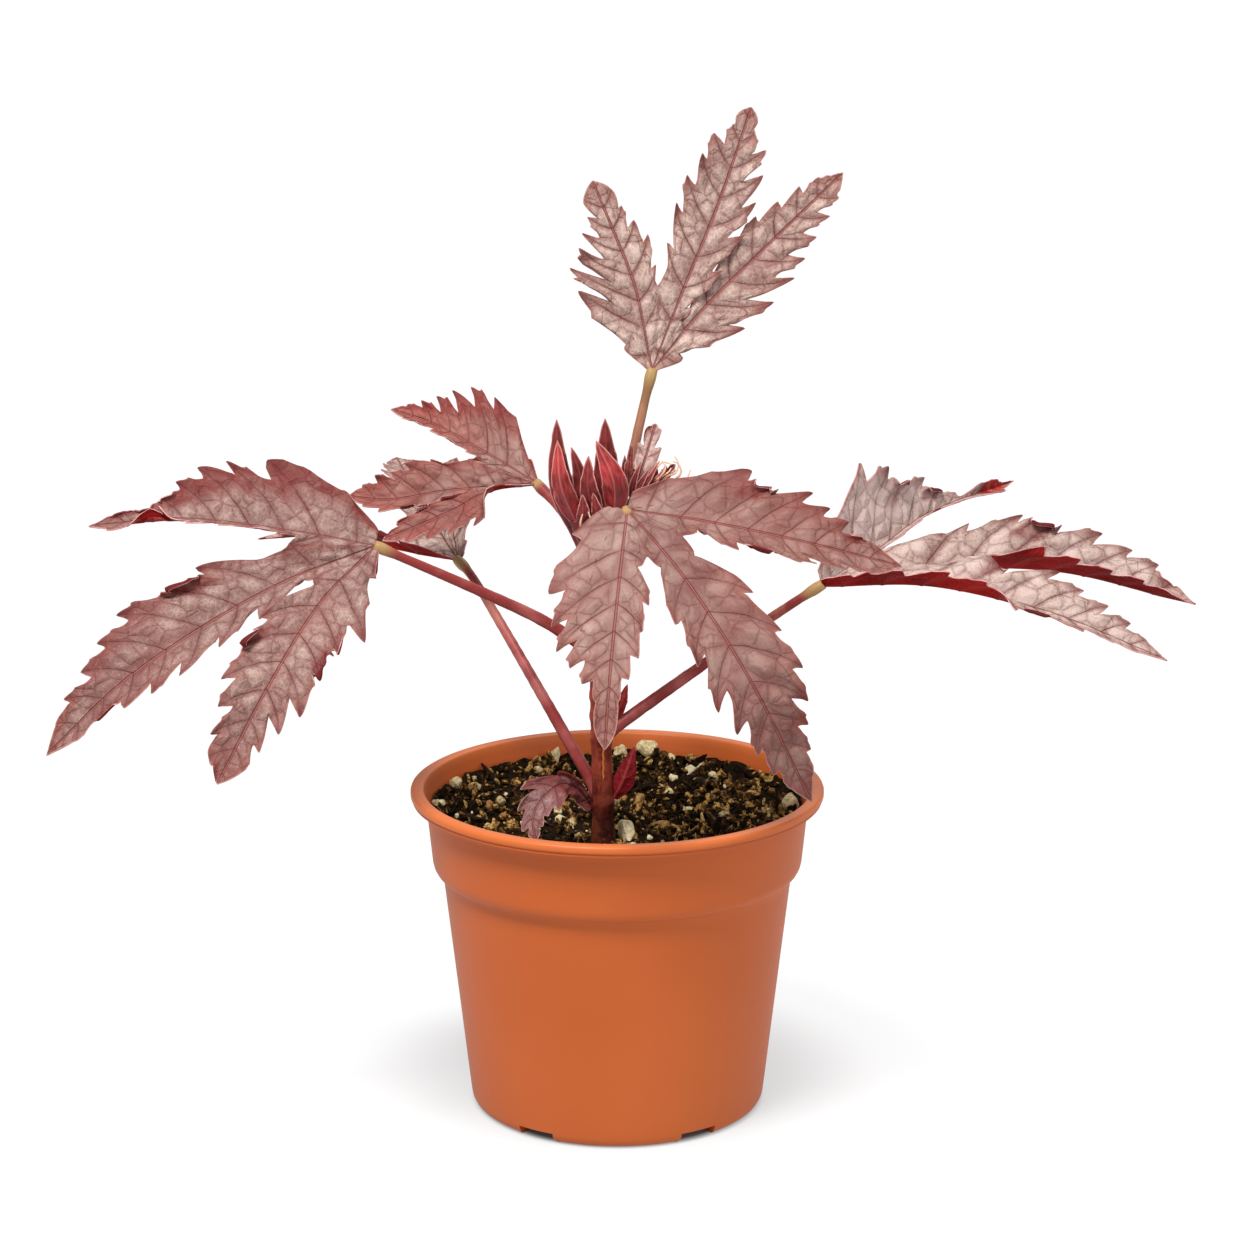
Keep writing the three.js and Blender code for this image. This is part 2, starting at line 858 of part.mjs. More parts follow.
addPiece("pot", makePot(), PAINT.pot);
addPiece("potting_mix", makeMix(), PAINT.mix);

const stem = [STEM_ROUTE, STEM_FOOT_RADIUS, STEM_TIP_RADIUS, STEM_SIDES, STEM_STEP, true];
addPiece("main_stem", limb(...stem), PAINT.stem);
const [tipX, tipY, tipZ] = STEM_ROUTE[STEM_ROUTE.length - 1];
const stemRoom = toSolid(
  limb(
    [...STEM_ROUTE.slice(0, -1), [tipX, tipY, tipZ + SEAT_GAP]],
    STEM_FOOT_RADIUS + SEAT_GAP,
    STEM_TIP_RADIUS + SEAT_GAP,
    STEM_SIDES,
    STEM_STEP,
  ),
);

Object.entries(LEAVES).forEach(([name, shape], index) => {
  const route = STALK_ROUTES[name];
  const leaf = { ...shape, junction: route[route.length - 1], seed: SEED_STRIDE * (index + 1) };
  addPiece(`leaf_${name}`, makeBlade(leaf, BLADE_THICKNESS), PAINT.leaf);
  const stalk = makeStalk(route, STALK_FOOT_RADIUS, STALK_TIP_RADIUS, leaf, BLADE_THICKNESS);
  addPiece(`stalk_${name}`, stalk, PAINT.stalk);
});

Object.entries(SMALL_LEAVES).forEach(([name, shape], index) => {
  const leaf = { ...shape, seed: SMALL_LEAF_SEED + SEED_STRIDE * index };
  const blade = toSolid(makeBlade(leaf, SMALL_BLADE_THICKNESS)).subtract(stemRoom);
  addPiece(name, toGeometry(largestBody(blade)), PAINT.young);
  if (!shape.stalk) return;
  const radii = [YOUNG_STALK_RADIUS, YOUNG_STALK_RADIUS];
  const stalk = makeStalk(shape.stalk, ...radii, leaf, SMALL_BLADE_THICKNESS);
  addPiece("stalk_young", stalk, PAINT.stalk);
});

Object.entries(BUDS).forEach(([name, bud], index) => {
  const solid = makeBud(bud, BUD_SEED + SEED_STRIDE * index).subtract(stemRoom);
  addPiece(name, toGeometry(largestBody(solid)), PAINT.young);
});

export default plant;
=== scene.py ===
# A young hibiscus shrub in its nursery pot, dressed for a close look, in metres, +Z up.

# %% [markdown]
# The imported solids come first. They fix where the pot, the stem, the stalks and each leaf are,
# and everything that is made below stands for one of them. The box round them is kept, so that
# the box of the dressed plant can be printed beside it at the end.

# %% Load the solids
import bmesh
import bpy
import math
import numpy as np
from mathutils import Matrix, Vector


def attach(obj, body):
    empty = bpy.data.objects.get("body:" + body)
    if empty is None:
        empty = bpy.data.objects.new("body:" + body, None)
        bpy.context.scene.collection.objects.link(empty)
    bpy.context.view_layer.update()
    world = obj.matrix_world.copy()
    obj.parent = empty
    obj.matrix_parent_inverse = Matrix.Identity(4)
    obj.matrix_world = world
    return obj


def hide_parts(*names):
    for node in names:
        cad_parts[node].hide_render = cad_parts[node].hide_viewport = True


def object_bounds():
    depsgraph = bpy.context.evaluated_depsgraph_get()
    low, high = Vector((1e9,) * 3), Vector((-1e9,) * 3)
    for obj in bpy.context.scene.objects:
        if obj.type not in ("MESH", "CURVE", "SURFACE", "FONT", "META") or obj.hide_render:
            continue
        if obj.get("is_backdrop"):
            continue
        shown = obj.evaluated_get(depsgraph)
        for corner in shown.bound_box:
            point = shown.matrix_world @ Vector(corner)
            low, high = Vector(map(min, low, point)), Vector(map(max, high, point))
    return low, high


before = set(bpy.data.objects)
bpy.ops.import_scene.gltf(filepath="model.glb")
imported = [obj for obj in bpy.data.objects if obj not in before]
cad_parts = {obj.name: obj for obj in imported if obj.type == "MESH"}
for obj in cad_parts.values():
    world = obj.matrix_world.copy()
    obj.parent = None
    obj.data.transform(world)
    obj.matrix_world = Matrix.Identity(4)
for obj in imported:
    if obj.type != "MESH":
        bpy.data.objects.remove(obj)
SOLID_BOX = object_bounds()
MM = 0.001
print("solids:", len(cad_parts))
print("box in mm:", [[round(c / MM, 1) for c in p] for p in SOLID_BOX])

# %% [markdown]
# The photograph was taken from a little above, with a long lens, so upright lines stay nearly
# upright. A longer lens from farther away flattens a plant, and a shorter one near it makes the
# front leaf look too big. The place and tilt here were worked out from the circles of the pot:
# how open the rim's ellipse looks gives the tilt, and how much the foot shrinks gives the distance.

# %% Camera
CAMERA_PLACE = (2.83 * MM, -922.3 * MM, 371.9 * MM)
CAMERA_TILT = 13.959
LENS = 95
SENSOR = 36

lens = bpy.data.cameras.new("camera")
lens.lens = LENS
lens.sensor_width = SENSOR
camera = bpy.data.objects.new("camera", lens)
camera.location = CAMERA_PLACE
camera.rotation_euler = (math.radians(90 - CAMERA_TILT), 0, 0)
bpy.context.scene.collection.objects.link(camera)
bpy.context.scene.camera = camera
print("camera", round(camera.location.length, 3), "m from the pot's foot")

# %% [markdown]
# The studio is a pale sheet with soft light from everywhere: the pot has only a faint shadow where
# it meets the sheet. A bright world gives the even light, and a large soft lamp above and to the
# left of the camera gives the leaves their gentle modelling. Two weak lamps fill the right side
# and the back. A hard sun would throw leaf shadows on the pot, which the photograph doesn't show.

# %% Floor and light
WORLD_LIGHT = 0.50
FLOOR_SIDE = 40.0
LAMPS = {
    "key": dict(place=(-0.35, -0.6, 1.25), size=0.45, watts=26.0),
    "fill": dict(place=(0.9, -0.7, 0.6), size=1.0, watts=4.0),
    "back": dict(place=(0.2, 1.0, 1.1), size=1.0, watts=5.0),
}
LAMPS_AIM_AT = (0, 0, 0.14)


def add_object(name, data):
    thing = bpy.data.objects.new(name, data)
    bpy.context.scene.collection.objects.link(thing)
    return thing


def add_lamp(name, place, size, watts):
    light = bpy.data.lights.new(name, "AREA")
    light.shape = "DISK"
    light.size = size
    light.energy = watts
    lamp = add_object(name, light)
    lamp.location = place
    aim = Vector(LAMPS_AIM_AT) - lamp.location
    lamp.rotation_euler = aim.to_track_quat("-Z", "Y").to_euler()
    return lamp


for name, facts in LAMPS.items():
    add_lamp(name, **facts)

world = bpy.data.worlds.new("studio")
world.use_nodes = True
world.node_tree.nodes["Background"].inputs["Color"].default_value = (1, 1, 1, 1)
world.node_tree.nodes["Background"].inputs["Strength"].default_value = WORLD_LIGHT
bpy.context.scene.world = world
bpy.context.scene.view_settings.view_transform = "Standard"

half = FLOOR_SIDE / 2
corners = [(-half, -half, 0), (half, -half, 0), (half, half, 0), (-half, half, 0)]
sheet = bpy.data.meshes.new("floor")
sheet.from_pydata(corners, [], [(0, 1, 2, 3)])
floor = add_object("floor", sheet)
floor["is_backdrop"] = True
print("lamps:", ", ".join(LAMPS))

# %% [markdown]
# Every finish below is written as sums, the way they would stand in a notebook: a leaf's vein is
# "one minus the distance to the vein over its width". Wiring each sum by hand buries that, so one
# small class wraps a socket and makes the Math node when two of them are added or multiplied.
# Colours are mixed by a Mix node instead, because a Math node would turn them grey.

# %% Sums of sockets
class Sum:
    def __init__(self, paint, socket):
        self.paint = paint
        self.socket = socket

    def math(self, operation, *others):
        values = {i: other for i, other in enumerate((self, *others))}
        return self.paint.node("ShaderNodeMath", {"operation": operation}, values)

    def __add__(self, other):
        return self.math("ADD", other)

    def __sub__(self, other):
        return self.math("SUBTRACT", other)

    def __mul__(self, other):
        return self.math("MULTIPLY", other)

    def __rsub__(self, other):
        return (self * -1) + other

    def __pow__(self, other):
        return self.math("POWER", other)

    __radd__ = __add__
    __rmul__ = __mul__

    def clamp(self):
        return self.paint.node("ShaderNodeClamp", {}, {"Value": self})

    def ramp(self, low, high):
        """0 below low and 1 above high, with a soft step between them."""
        values = {"Value": self, "From Min": low, "From Max": high}
        return self.paint.node("ShaderNodeMapRange", {"interpolation_type": "SMOOTHSTEP"}, values)

    def fade(self, low, high):
        """1 below low and 0 above high."""
        return 1 - self.ramp(low, high)


# %% A material and its nodes
class Paint:
    def __init__(self, name, **values):
        self.material = bpy.data.materials.new(name)
        self.material.use_nodes = True
        self.tree = self.material.node_tree
        self.shader = self.tree.nodes["Principled BSDF"]
        for socket, value in values.items():
            self.shader.inputs[socket.replace("_", " ")].default_value = value

    def node(self, kind, settings, values, output=0):
        made = self.tree.nodes.new(kind)
        for setting, value in settings.items():
            if setting == "stops":
                self.set_stops(made.color_ramp, value)
            else:
                setattr(made, setting, value)
        for socket, value in values.items():
            self.feed(made.inputs[socket], value)
        return Sum(self, made.outputs[output])

    def set_stops(self, ramp, stops):
        while len(ramp.elements) < len(stops):
            ramp.elements.new(0.5)
        for element, (place, colour) in zip(ramp.elements, stops):
            element.position = place
            element.color = (*colour, 1)

    def feed(self, socket, value):
        if isinstance(value, Sum):
            self.tree.links.new(value.socket, socket)
        elif socket.type == "RGBA" and not isinstance(value, (int, float)):
            socket.default_value = (*value[:3], 1)
        else:
            socket.default_value = value

    def mix(self, share, first, second):
        return self.node("ShaderNodeMix", {"data_type": "RGBA"}, {0: share, 6: first, 7: second}, 2)

    def place(self):
        return self.node("ShaderNodeTexCoord", {}, {}, "Object")

    def mark(self, name, output="Fac"):
        return self.node("ShaderNodeAttribute", {"attribute_name": name}, {}, output)

    def parts(self, name):
        """The three numbers of a vector mark, each as a sum."""
        split = self.node("ShaderNodeSeparateXYZ", {}, {0: self.mark(name, "Vector")}).socket.node
        return [Sum(self, output) for output in split.outputs]

    def noise(self, scale, detail=3.0, rough=0.5, place=None, stretch=None):
        place = place or self.place()
        if stretch:
            place = self.node("ShaderNodeMapping", {}, {"Vector": place, "Scale": stretch})
        values = {"Vector": place, "Scale": scale, "Detail": detail, "Roughness": rough}
        return self.node("ShaderNodeTexNoise", {}, values)

    def cells(self, scale):
        """How far a spot is from the edges of a pattern of cells."""
        values = {"Vector": self.place(), "Scale": scale}
        return self.node("ShaderNodeTexVoronoi", {"feature": "DISTANCE_TO_EDGE"}, values, "Distance")

    def bump(self, height, strength, depth):
        values = {"Height": height, "Strength": strength, "Distance": depth}
        return self.node("ShaderNodeBump", {}, values)

    def finish(self, **links):
        for socket, value in links.items():
            self.feed(self.shader.inputs[socket.replace("_", " ")], value)
        return self.material


# %% [markdown]
# The studio sheet is matt paper with a very faint mottle, which keeps it from looking like a
# computer's flat white. A single grey would end at the horizon in a line, so the paper also glows
# a little, as painted light: most far away, where it joins the bright background, less near the
# pot, least in a ring round its foot, which is the pot's soft shadow painted into the glow, and
# hardly at all right under it, which is painted shade inside the drain recesses.

# %% Paper of the floor
PAPER_DARK = 0.14
PAPER_LIGHT = 0.16
GLOW_IN_PAINTED_SHADE = 0.02
GLOW_AT_FOOT = 0.58
GLOW_NEAR = 0.84
GLOW_FAR = 0.97
PAINTED_SHADOW_MIDDLE = (0, 0.020, 0)
PAINTED_SHADE_UNDER_POT = (0.039, 0.044)
PAINTED_SHADOW_RING = (0.040, 0.082)
FAR_AWAY = (0.2, 2.5)


def grey(level):
    return (level, level, level)


paper = Paint("studio_paper", Roughness=0.9, Specular_IOR_Level=0.1, Emission_Strength=1.0)
paper_tone = paper.mix(paper.noise(6.0), grey(PAPER_DARK), grey(PAPER_LIGHT))
from_axis = paper.node("ShaderNodeVectorMath", {"operation": "LENGTH"}, {0: paper.place()}, 1)
middle = {0: paper.place(), 1: PAINTED_SHADOW_MIDDLE}
from_painted_shadow = paper.node("ShaderNodeVectorMath", {"operation": "DISTANCE"}, middle, 1)
# Painted shadow round the foot, and painted shade under the pot that darkens the drain recesses.
glow = paper.mix(from_painted_shadow.ramp(*PAINTED_SHADOW_RING), grey(GLOW_AT_FOOT), grey(GLOW_NEAR))
glow = paper.mix(from_axis.ramp(*FAR_AWAY), glow, grey(GLOW_FAR))
glow = paper.mix(from_axis.ramp(*PAINTED_SHADE_UNDER_POT), grey(GLOW_IN_PAINTED_SHADE), glow)
floor.data.materials.append(paper.finish(Base_Color=paper_tone, Emission_Color=glow))
print("the paper glows from", GLOW_AT_FOOT, "at the foot to", GLOW_FAR)

# %% [markdown]
# The pot is a thin shell of matt terracotta-coloured plastic, drawn once round its axis. It could
# be a cylinder pushed into shape, but a turned profile states each real height and radius, so it
# is closed and right at once. Its profile runs from the middle of the underside, up the outside,
# over the rolled lip and down the inside. Six shallow drain recesses are then cut from the foot.

# %% A mesh from points in millimetres
def make_mesh(name, points, faces, marks=None, smooth=True):
    mesh = bpy.data.meshes.new(name)
    if not isinstance(faces, list):
        faces = faces.tolist()
    mesh.from_pydata((np.asarray(points) * MM).tolist(), [], faces)
    for mark, values in (marks or {}).items():
        values = np.asarray(values, dtype=np.float32)
        vector = values.ndim == 2
        layer = mesh.attributes.new(mark, "FLOAT_VECTOR" if vector else "FLOAT", "POINT")
        layer.data.foreach_set("vector" if vector else "value", values.ravel())
    mesh.polygons.foreach_set("use_smooth", [smooth] * len(mesh.polygons))
    mesh.update()
    return mesh


def add_piece(name, mesh, slot, materials, *nodes):
    piece = add_object(name, mesh)
    for material in materials:
        mesh.materials.append(material)
    if nodes:
        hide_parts(*nodes)
    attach(piece, "root")
    return piece


# %% The pot's profile
POT_SIDES = 256
POT_OUTSIDE = [
    (0, 0), (20, 0), (40.2, 0), (41.4, 0.25), (42.4, 0.9), (43.0, 2.0), (43.2, 3), (43.7, 7.2),
    (46.4, 31), (50.6, 67.5), (50.9, 70), (51.15, 70.5), (51.6, 70.9), (52.3, 71.2), (53.0, 71.7),
    (53.5, 72.6), (53.8, 73.8), (53.9, 74.6), (54.0, 75.6), (55.3, 88.5), (55.4, 89.5), (55.6, 90.6),
    (56.1, 91.4), (56.9, 91.9), (58.2, 92.1), (59.1, 92.15), (59.5, 92.35), (59.55, 92.75),
    (59.4, 93.0), (59.6, 93.2), (59.9, 93.4), (60, 93.7), (60, 94.0), (60, 94.7), (59.85, 95.15),
    (59.4, 95.45), (59.0, 95.5),
]
POT_INSIDE = [
    (57.0, 95.5), (56.5, 95.42), (56.15, 95.15), (56.0, 94.7), (55.7, 93.9), (54.6, 91.0), (54.2, 90),
    (52.5, 74), (49.6, 70.2),
    (41.8, 3), (41.2, 1.9), (40.6, 1.6), (20, 1.6), (0, 1.6),
]


def turned(profile, sides):
    """Closed rings round +Z from a profile that starts and ends on the axis."""
    rings = np.array(profile[1:-1], float)
    angles = np.arange(sides) * 2 * math.pi / sides
    ring = np.stack([np.cos(angles), np.sin(angles)], 1)
    points = [(0, 0, profile[0][1]), (0, 0, profile[-1][1])]
    for radius, z in rings:
        points.extend(np.column_stack([ring * radius, np.full(sides, z)]))
    here = np.arange(sides)
    after = (here + 1) % sides
    faces = [(0, 2 + j, 2 + i) for i, j in zip(here, after)]
    for k in range(len(rings) - 1):
        low, high = 2 + k * sides, 2 + (k + 1) * sides
        faces += [(low + i, low + j, high + j, high + i) for i, j in zip(here, after)]
    top = 2 + (len(rings) - 1) * sides
    faces += [(top + i, top + j, 1) for i, j in zip(here, after)]
    return points, faces


pot_mesh = make_mesh("pot_shell", *turned(POT_OUTSIDE + POT_INSIDE, POT_SIDES))
print("pot shell faces:", len(pot_mesh.polygons))

# %% [markdown]
# The drain recesses sit round the foot, where water leaves and air gets in. They could be drawn
# into the profile only if they went all the way round, so each is cut with a block instead. First
# a small roof is added inside the pot over each drain, so that no cut opens the thin base. Boolean
# modifiers do both and are applied at once, so that the pot stays one clean mesh.

# %% Drain recesses
DRAIN_ANGLES = (-147, -90, -33, 33, 90, 147)
DRAIN_SIZE = (11.5, 16, 4.2)
DRAIN_PLACE = (42, 0.9)
ROOF_SIZE = (13.5, 8.0, 4.0)
ROOF_PLACE = (36.8, 2.05)
SHARP_FROM = 42


def apply_modifiers(piece):
    shaped = piece.evaluated_get(bpy.context.evaluated_depsgraph_get())
    mesh = bpy.data.meshes.new_from_object(shaped)
    piece.modifiers.clear()
    piece.data = mesh
    return mesh


def blocks_round_foot(name, size, place):
    """A block at each drain: its width, length and height, how far out its middle is, and its z."""
    corners = [(x, y, z) for x in (-1, 1) for y in (-1, 1) for z in (-1, 1)]
    sides = [(2, 3, 1, 0), (5, 7, 6, 4), (1, 5, 4, 0), (6, 7, 3, 2), (4, 6, 2, 0), (3, 7, 5, 1)]
    points, faces = [], []
    for number, angle in enumerate(DRAIN_ANGLES):
        turn = math.radians(angle)
        outward = np.array([math.sin(turn), -math.cos(turn), 0])
        sideways = np.array([math.cos(turn), math.sin(turn), 0])
        for x, y, z in corners:
            middle = outward * (place[0] + y * size[1] / 2)
            points.append(middle + sideways * x * size[0] / 2 + (0, 0, place[1] + z * size[2] / 2))
        faces += [tuple(8 * number + i for i in side) for side in sides]
    return add_object(name, make_mesh(name, points, faces, smooth=False))


pot = add_object("pot_piece", pot_mesh)
DRAIN_STEPS = [
    ("roofs", "UNION", ROOF_SIZE, ROOF_PLACE),
    ("drains", "DIFFERENCE", DRAIN_SIZE, DRAIN_PLACE),
]
for name, operation, size, place in DRAIN_STEPS:
    blocks = blocks_round_foot(name, size, place)
    cut = pot.modifiers.new(name, "BOOLEAN")
    cut.operation = operation
    cut.object = blocks
    pot_mesh = apply_modifiers(pot)
    bpy.data.objects.remove(blocks)
    print(name, "done, pot faces:", len(pot_mesh.polygons))
pot_mesh.set_sharp_from_angle(angle=math.radians(SHARP_FROM))

# %% [markdown]
# The plastic is coloured right through and has no paint. Under a lamp it is a warm orange with a
# soft, wide gloss. It needs three quiet things to look moulded and used: a slow drift of tone, a
# fine grain with faint level lines from the tool, and a paler, smoother lip, whose paler tone is a
# painted highlight along its top. The lip could be a material of its own, but its tone only
# follows height.

# %% Terracotta plastic
PLASTIC = (0.44, 0.092, 0.016)
PLASTIC_DEEP = (0.41, 0.080, 0.012)
PLASTIC_LIP_HIGHLIGHT = (0.56, 0.140, 0.032)
LIP_HEIGHTS = (0.0925, 0.0952)
LEVEL_LINES = (2, 2, 260)

plastic = Paint("terracotta_plastic", Specular_IOR_Level=0.25)
height = plastic.node("ShaderNodeSeparateXYZ", {}, {0: plastic.place()}, 2)
drift = plastic.noise(14, 3)
grain = plastic.noise(900, 2)
lines = plastic.noise(1.0, 2, stretch=LEVEL_LINES)
lip = height.ramp(*LIP_HEIGHTS)
tone = plastic.mix(drift.ramp(0.35, 0.7), PLASTIC_DEEP, PLASTIC)
# Painted highlight: the lip is paler.
tone = plastic.mix(lip * 0.6, tone, PLASTIC_LIP_HIGHLIGHT)
rough = drift * 0.12 + grain * 0.08 + 0.42 - lip * 0.08
skin = plastic.bump(grain * 0.5 + lines * 0.7, 0.12, 0.0004)
pot_mesh.materials.append(plastic.finish(Base_Color=tone, Roughness=rough, Normal=skin))
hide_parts("pot")
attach(pot, "root")
print("pot dressed, faces:", len(pot_mesh.polygons))

# %% [markdown]
# Potting mix is crumbs, not a smooth cake: dark peat, torn bark and white perlite. A particle
# system could scatter them, but then they aren't real meshes, so they are placed in code. First
# comes the bed that fills the pot. Its top is a dish, low round the stem and banked up to the
# wall, where the photograph shows it only a few millimetres under the lip.

# %% Repeatable chances
def smooth_step(value, low, high):
    t = np.clip((value - low) / (high - low), 0, 1)
    return t * t * (3 - 2 * t)


WAVE_LAYERS = 5


def waves(points, size, seed):
    """A soft repeatable unevenness from about -1 to 1: crossing waves of the given size."""
    lots = np.random.default_rng(seed)
    total = 0
    for layer in range(WAVE_LAYERS):
        way = lots.normal(size=points.shape[-1])
        way *= 2 * math.pi / (size * 0.7 ** layer * np.linalg.norm(way))
        total = total + np.sin(points @ way + lots.uniform(0, 6.28)) * 0.75 ** layer
    return total / 2.2


def unit(vectors):
    return vectors / np.maximum(np.linalg.norm(vectors, axis=-1, keepdims=True), 1e-12)


# %% The bed of mix
STEM_FOOT = (-4, -15)
BED_TOP = 82.3
BED_EDGE = 90
BED_RADIUS = 53.7
BED_LEVEL = 8
BED_BANK = 3
BED_RINGS = 90
BED_SIDES = 180
# Size, height and seed of each unevenness: slow swells, small bumps and the finest crumble.
BED_SWELLS = (24, 0.9, 3)
BED_BUMPS = (7, 0.6, 4)
BED_CRUMBLE = (2.6, 0.35, 5)
SMOOTH_BY_STEM = (3, 14)
BED_SIDE = [(53.7, 86), (52.2, 74), (49.2, 70.2), (41.7, 4.5), (41.4, 4.3), (32.4, 4.3), (32.2, 1.9)]


def uneven(spot, kind):
    """Waves of one kind: their size, their height and the seed that repeats them."""
    size, height, seed = kind
    return waves(spot, size, seed) * height


def bed_height(x, y):
    from_stem = np.hypot(x - STEM_FOOT[0], y - STEM_FOOT[1])
    from_level = np.maximum(from_stem - BED_LEVEL, 0)
    to_wall = np.maximum(BED_RADIUS - np.hypot(x, y), 0)
    bank = (from_level / (from_level + to_wall + 1e-6)) ** BED_BANK
    spot = np.stack([x, y], -1)
    bumps = uneven(spot, BED_SWELLS) + uneven(spot, BED_BUMPS)
    return BED_TOP + (BED_EDGE - BED_TOP) * bank + bumps * smooth_step(from_stem, *SMOOTH_BY_STEM)


def make_bed():
    rings, sides = BED_RINGS, BED_SIDES
    angles = np.arange(sides) * 2 * math.pi / sides
    circle = np.column_stack([np.cos(angles), np.sin(angles)])
    points = [np.array([[0, 0, bed_height(np.array(0.0), np.array(0.0))]])]
    for ring in range(1, rings + 1):
        spots = BED_RADIUS * ring / rings * circle
        points.append(np.column_stack([spots, bed_height(*spots.T) + uneven(spots, BED_CRUMBLE)]))
    for radius, z in BED_SIDE:
        points.append(np.column_stack([radius * circle, np.full(sides, z)]))
    points.append(np.array([[0, 0, BED_SIDE[-1][1]]]))
    here = np.arange(sides)
    after = (here + 1) % sides
    faces = [(0, 1 + i, 1 + j) for i, j in zip(here, after)]
    last = rings + len(BED_SIDE)
    for ring in range(last - 1):
        low, high = 1 + ring * sides, 1 + (ring + 1) * sides
        faces += [(low + i, high + i, high + j, low + j) for i, j in zip(here, after)]
    low = 1 + (last - 1) * sides
    faces += [(low + i, low + sides, low + j) for i, j in zip(here, after)]
    return np.vstack(points), faces


bed_mesh = make_mesh("mix_bed", *make_bed())
print("bed faces:", len(bed_mesh.polygons))

# %% [markdown]
# Each crumb starts as the same small ball of triangles. It is stretched, dented and turned by
# chances of its own, and sunk a little into the bed. The large white grains are also shaved by a
# few flat planes. All crumbs of one kind become one mesh, and each carries one number, its tone,
# that its material reads to tell it from its neighbours.

# %% A ball and its turns
def ball(level):
    made = bmesh.new()
    bmesh.ops.create_icosphere(made, subdivisions=level, radius=1)
    points = np.array([corner.co[:] for corner in made.verts])
    faces = np.array([[corner.index for corner in face.verts] for face in made.faces])
    made.free()
    return points, faces


def turns(lots, count):
    """One even random turn for each crumb, as 3 by 3 numbers."""
    quarter = lots.normal(size=(count, 4))
    quarter /= np.linalg.norm(quarter, axis=1, keepdims=True)
    w, x, y, z = quarter.T
    rows = [[1 - 2 * (y * y + z * z), 2 * (x * y - z * w), 2 * (x * z + y * w)],
            [2 * (x * y + z * w), 1 - 2 * (x * x + z * z), 2 * (y * z - x * w)],
            [2 * (x * z - y * w), 2 * (y * z + x * w), 1 - 2 * (x * x + y * y)]]
    return np.moveaxis(np.array(rows), 2, 0)


def tilt(turned_by, flat):
    """Turns that are mostly about +Z, for chips that lie on their broad side."""
    up = turned_by[:, :, 2] * (1 - flat) + np.array([0, 0, flat])
    up /= np.linalg.norm(up, axis=1, keepdims=True)
    side = np.cross(up, turned_by[:, :, 0])
    side /= np.linalg.norm(side, axis=1, keepdims=True)
    return np.stack([np.cross(side, up), side, up], 2)


print("faces of a ball at levels 2, 3 and 4:", [len(ball(level)[1]) for level in (2, 3, 4)])

# %% [markdown]
# Strewing by hand would take thousands of steps and a physics run would differ each time, so all
# crumbs of one kind are worked out at once as arrays. The fine ones are many and mostly small, as
# sieving leaves them, and none lies where the stem stands.

# %% Strewing
STRETCH_LUCK = (0.75, 1.25)
DENT_WAVES = 6
DENT_FINENESS = 2.1
CUT_AT = (0.60, 0.85)


def scatter(name, spots, sizes, stretch, dents, level, seed, flat=0.0, sink=0.3, cuts=0):
    """Crumbs at x, y spots on the bed. sizes are half widths, stretch the three proportions."""
    lots = np.random.default_rng(seed)
    shape, corners = ball(level)
    count = len(spots)
    bulk = shape[None] * lots.uniform(*STRETCH_LUCK, (count, 1, 3)) * np.array(stretch)
    ways = lots.normal(size=(count, DENT_WAVES, 3)) * DENT_FINENESS
    starts = lots.uniform(0, 6.3, (count, DENT_WAVES, 1))
    dent = np.sin(np.einsum("cwk,pk->cwp", ways, shape) + starts).mean(1)
    bulk = bulk * (1 + dents * 2 * dent[:, :, None]) * sizes[:, None, None]
    for _ in range(cuts):
        way = unit(lots.normal(size=(count, 3)))
        over = np.einsum("cpk,ck->cp", bulk, way) - lots.uniform(*CUT_AT, (count, 1)) * sizes[:, None]
        bulk = bulk - np.maximum(over, 0)[..., None] * way[:, None]
    turned_by = tilt(turns(lots, count), flat) if flat else turns(lots, count)
    bulk = np.einsum("cij,cpj->cpi", turned_by, bulk)
    z = bed_height(spots[:, 0], spots[:, 1]) + sizes * stretch[2] * (1 - 2 * sink)
    bulk += np.column_stack([spots, z])[:, None]
    faces = (corners[None] + np.arange(count)[:, None, None] * len(shape)).reshape(-1, 3)
    tones = np.repeat(lots.uniform(0, 1, count), len(shape))
    smooth = level > 2
    return make_mesh(name, bulk.reshape(-1, 3), faces, {"tone": tones}, smooth)


STEM_CLEARANCE = 3.6


def spots_on_bed(lots, count, margin=1.0):
    """Even random places on the bed that keep off the stem."""
    radius = (BED_RADIUS - margin) * np.sqrt(lots.uniform(0, 1, 3 * count))
    angle = lots.uniform(0, 2 * math.pi, 3 * count)
    spots = np.column_stack([radius * np.cos(angle), radius * np.sin(angle)])
    clear = np.hypot(*(spots - STEM_FOOT).T) > STEM_CLEARANCE
    return spots[clear][:count]


def crumb_sizes(lots, count, least, more, rare=3):
    """Half widths: most are near the least, and a few are nearly as large as least and more."""
    return least + more * lots.uniform(0, 1, count) ** rare


CRUMBS = 2300
CRUMB_SIZES = (0.45, 1.4)
CRUMB_SHAPE = (1.15, 0.72, 0.55)
CHIPS = 700
CHIP_SIZES = (0.8, 1.7)
CHIP_SHAPE = (2.0, 0.5, 0.28)

lots = np.random.default_rng(11)
spots = spots_on_bed(lots, CRUMBS)
sizes = crumb_sizes(lots, CRUMBS, *CRUMB_SIZES)
small = scatter("mix_crumbs", spots, sizes, CRUMB_SHAPE, dents=0.42, level=2, seed=12, sink=0.18)
spots = spots_on_bed(lots, CHIPS, margin=2.5)
sizes = crumb_sizes(lots, CHIPS, *CHIP_SIZES)
bark = scatter("mix_bark", spots, sizes, CHIP_SHAPE, dents=0.34, level=2, seed=13, flat=0.35, sink=0.1)
print("crumbs and bark chips:", CRUMBS + CHIPS)

# %% [markdown]
# Perlite is rock popped by heat: rounded white grains with a chalky, pitted skin. The larger ones
# are where the photograph shows them on the mix, as places in millimetres and half widths, with
# the tan pieces of bark beside them. Smaller ones are strewn between.

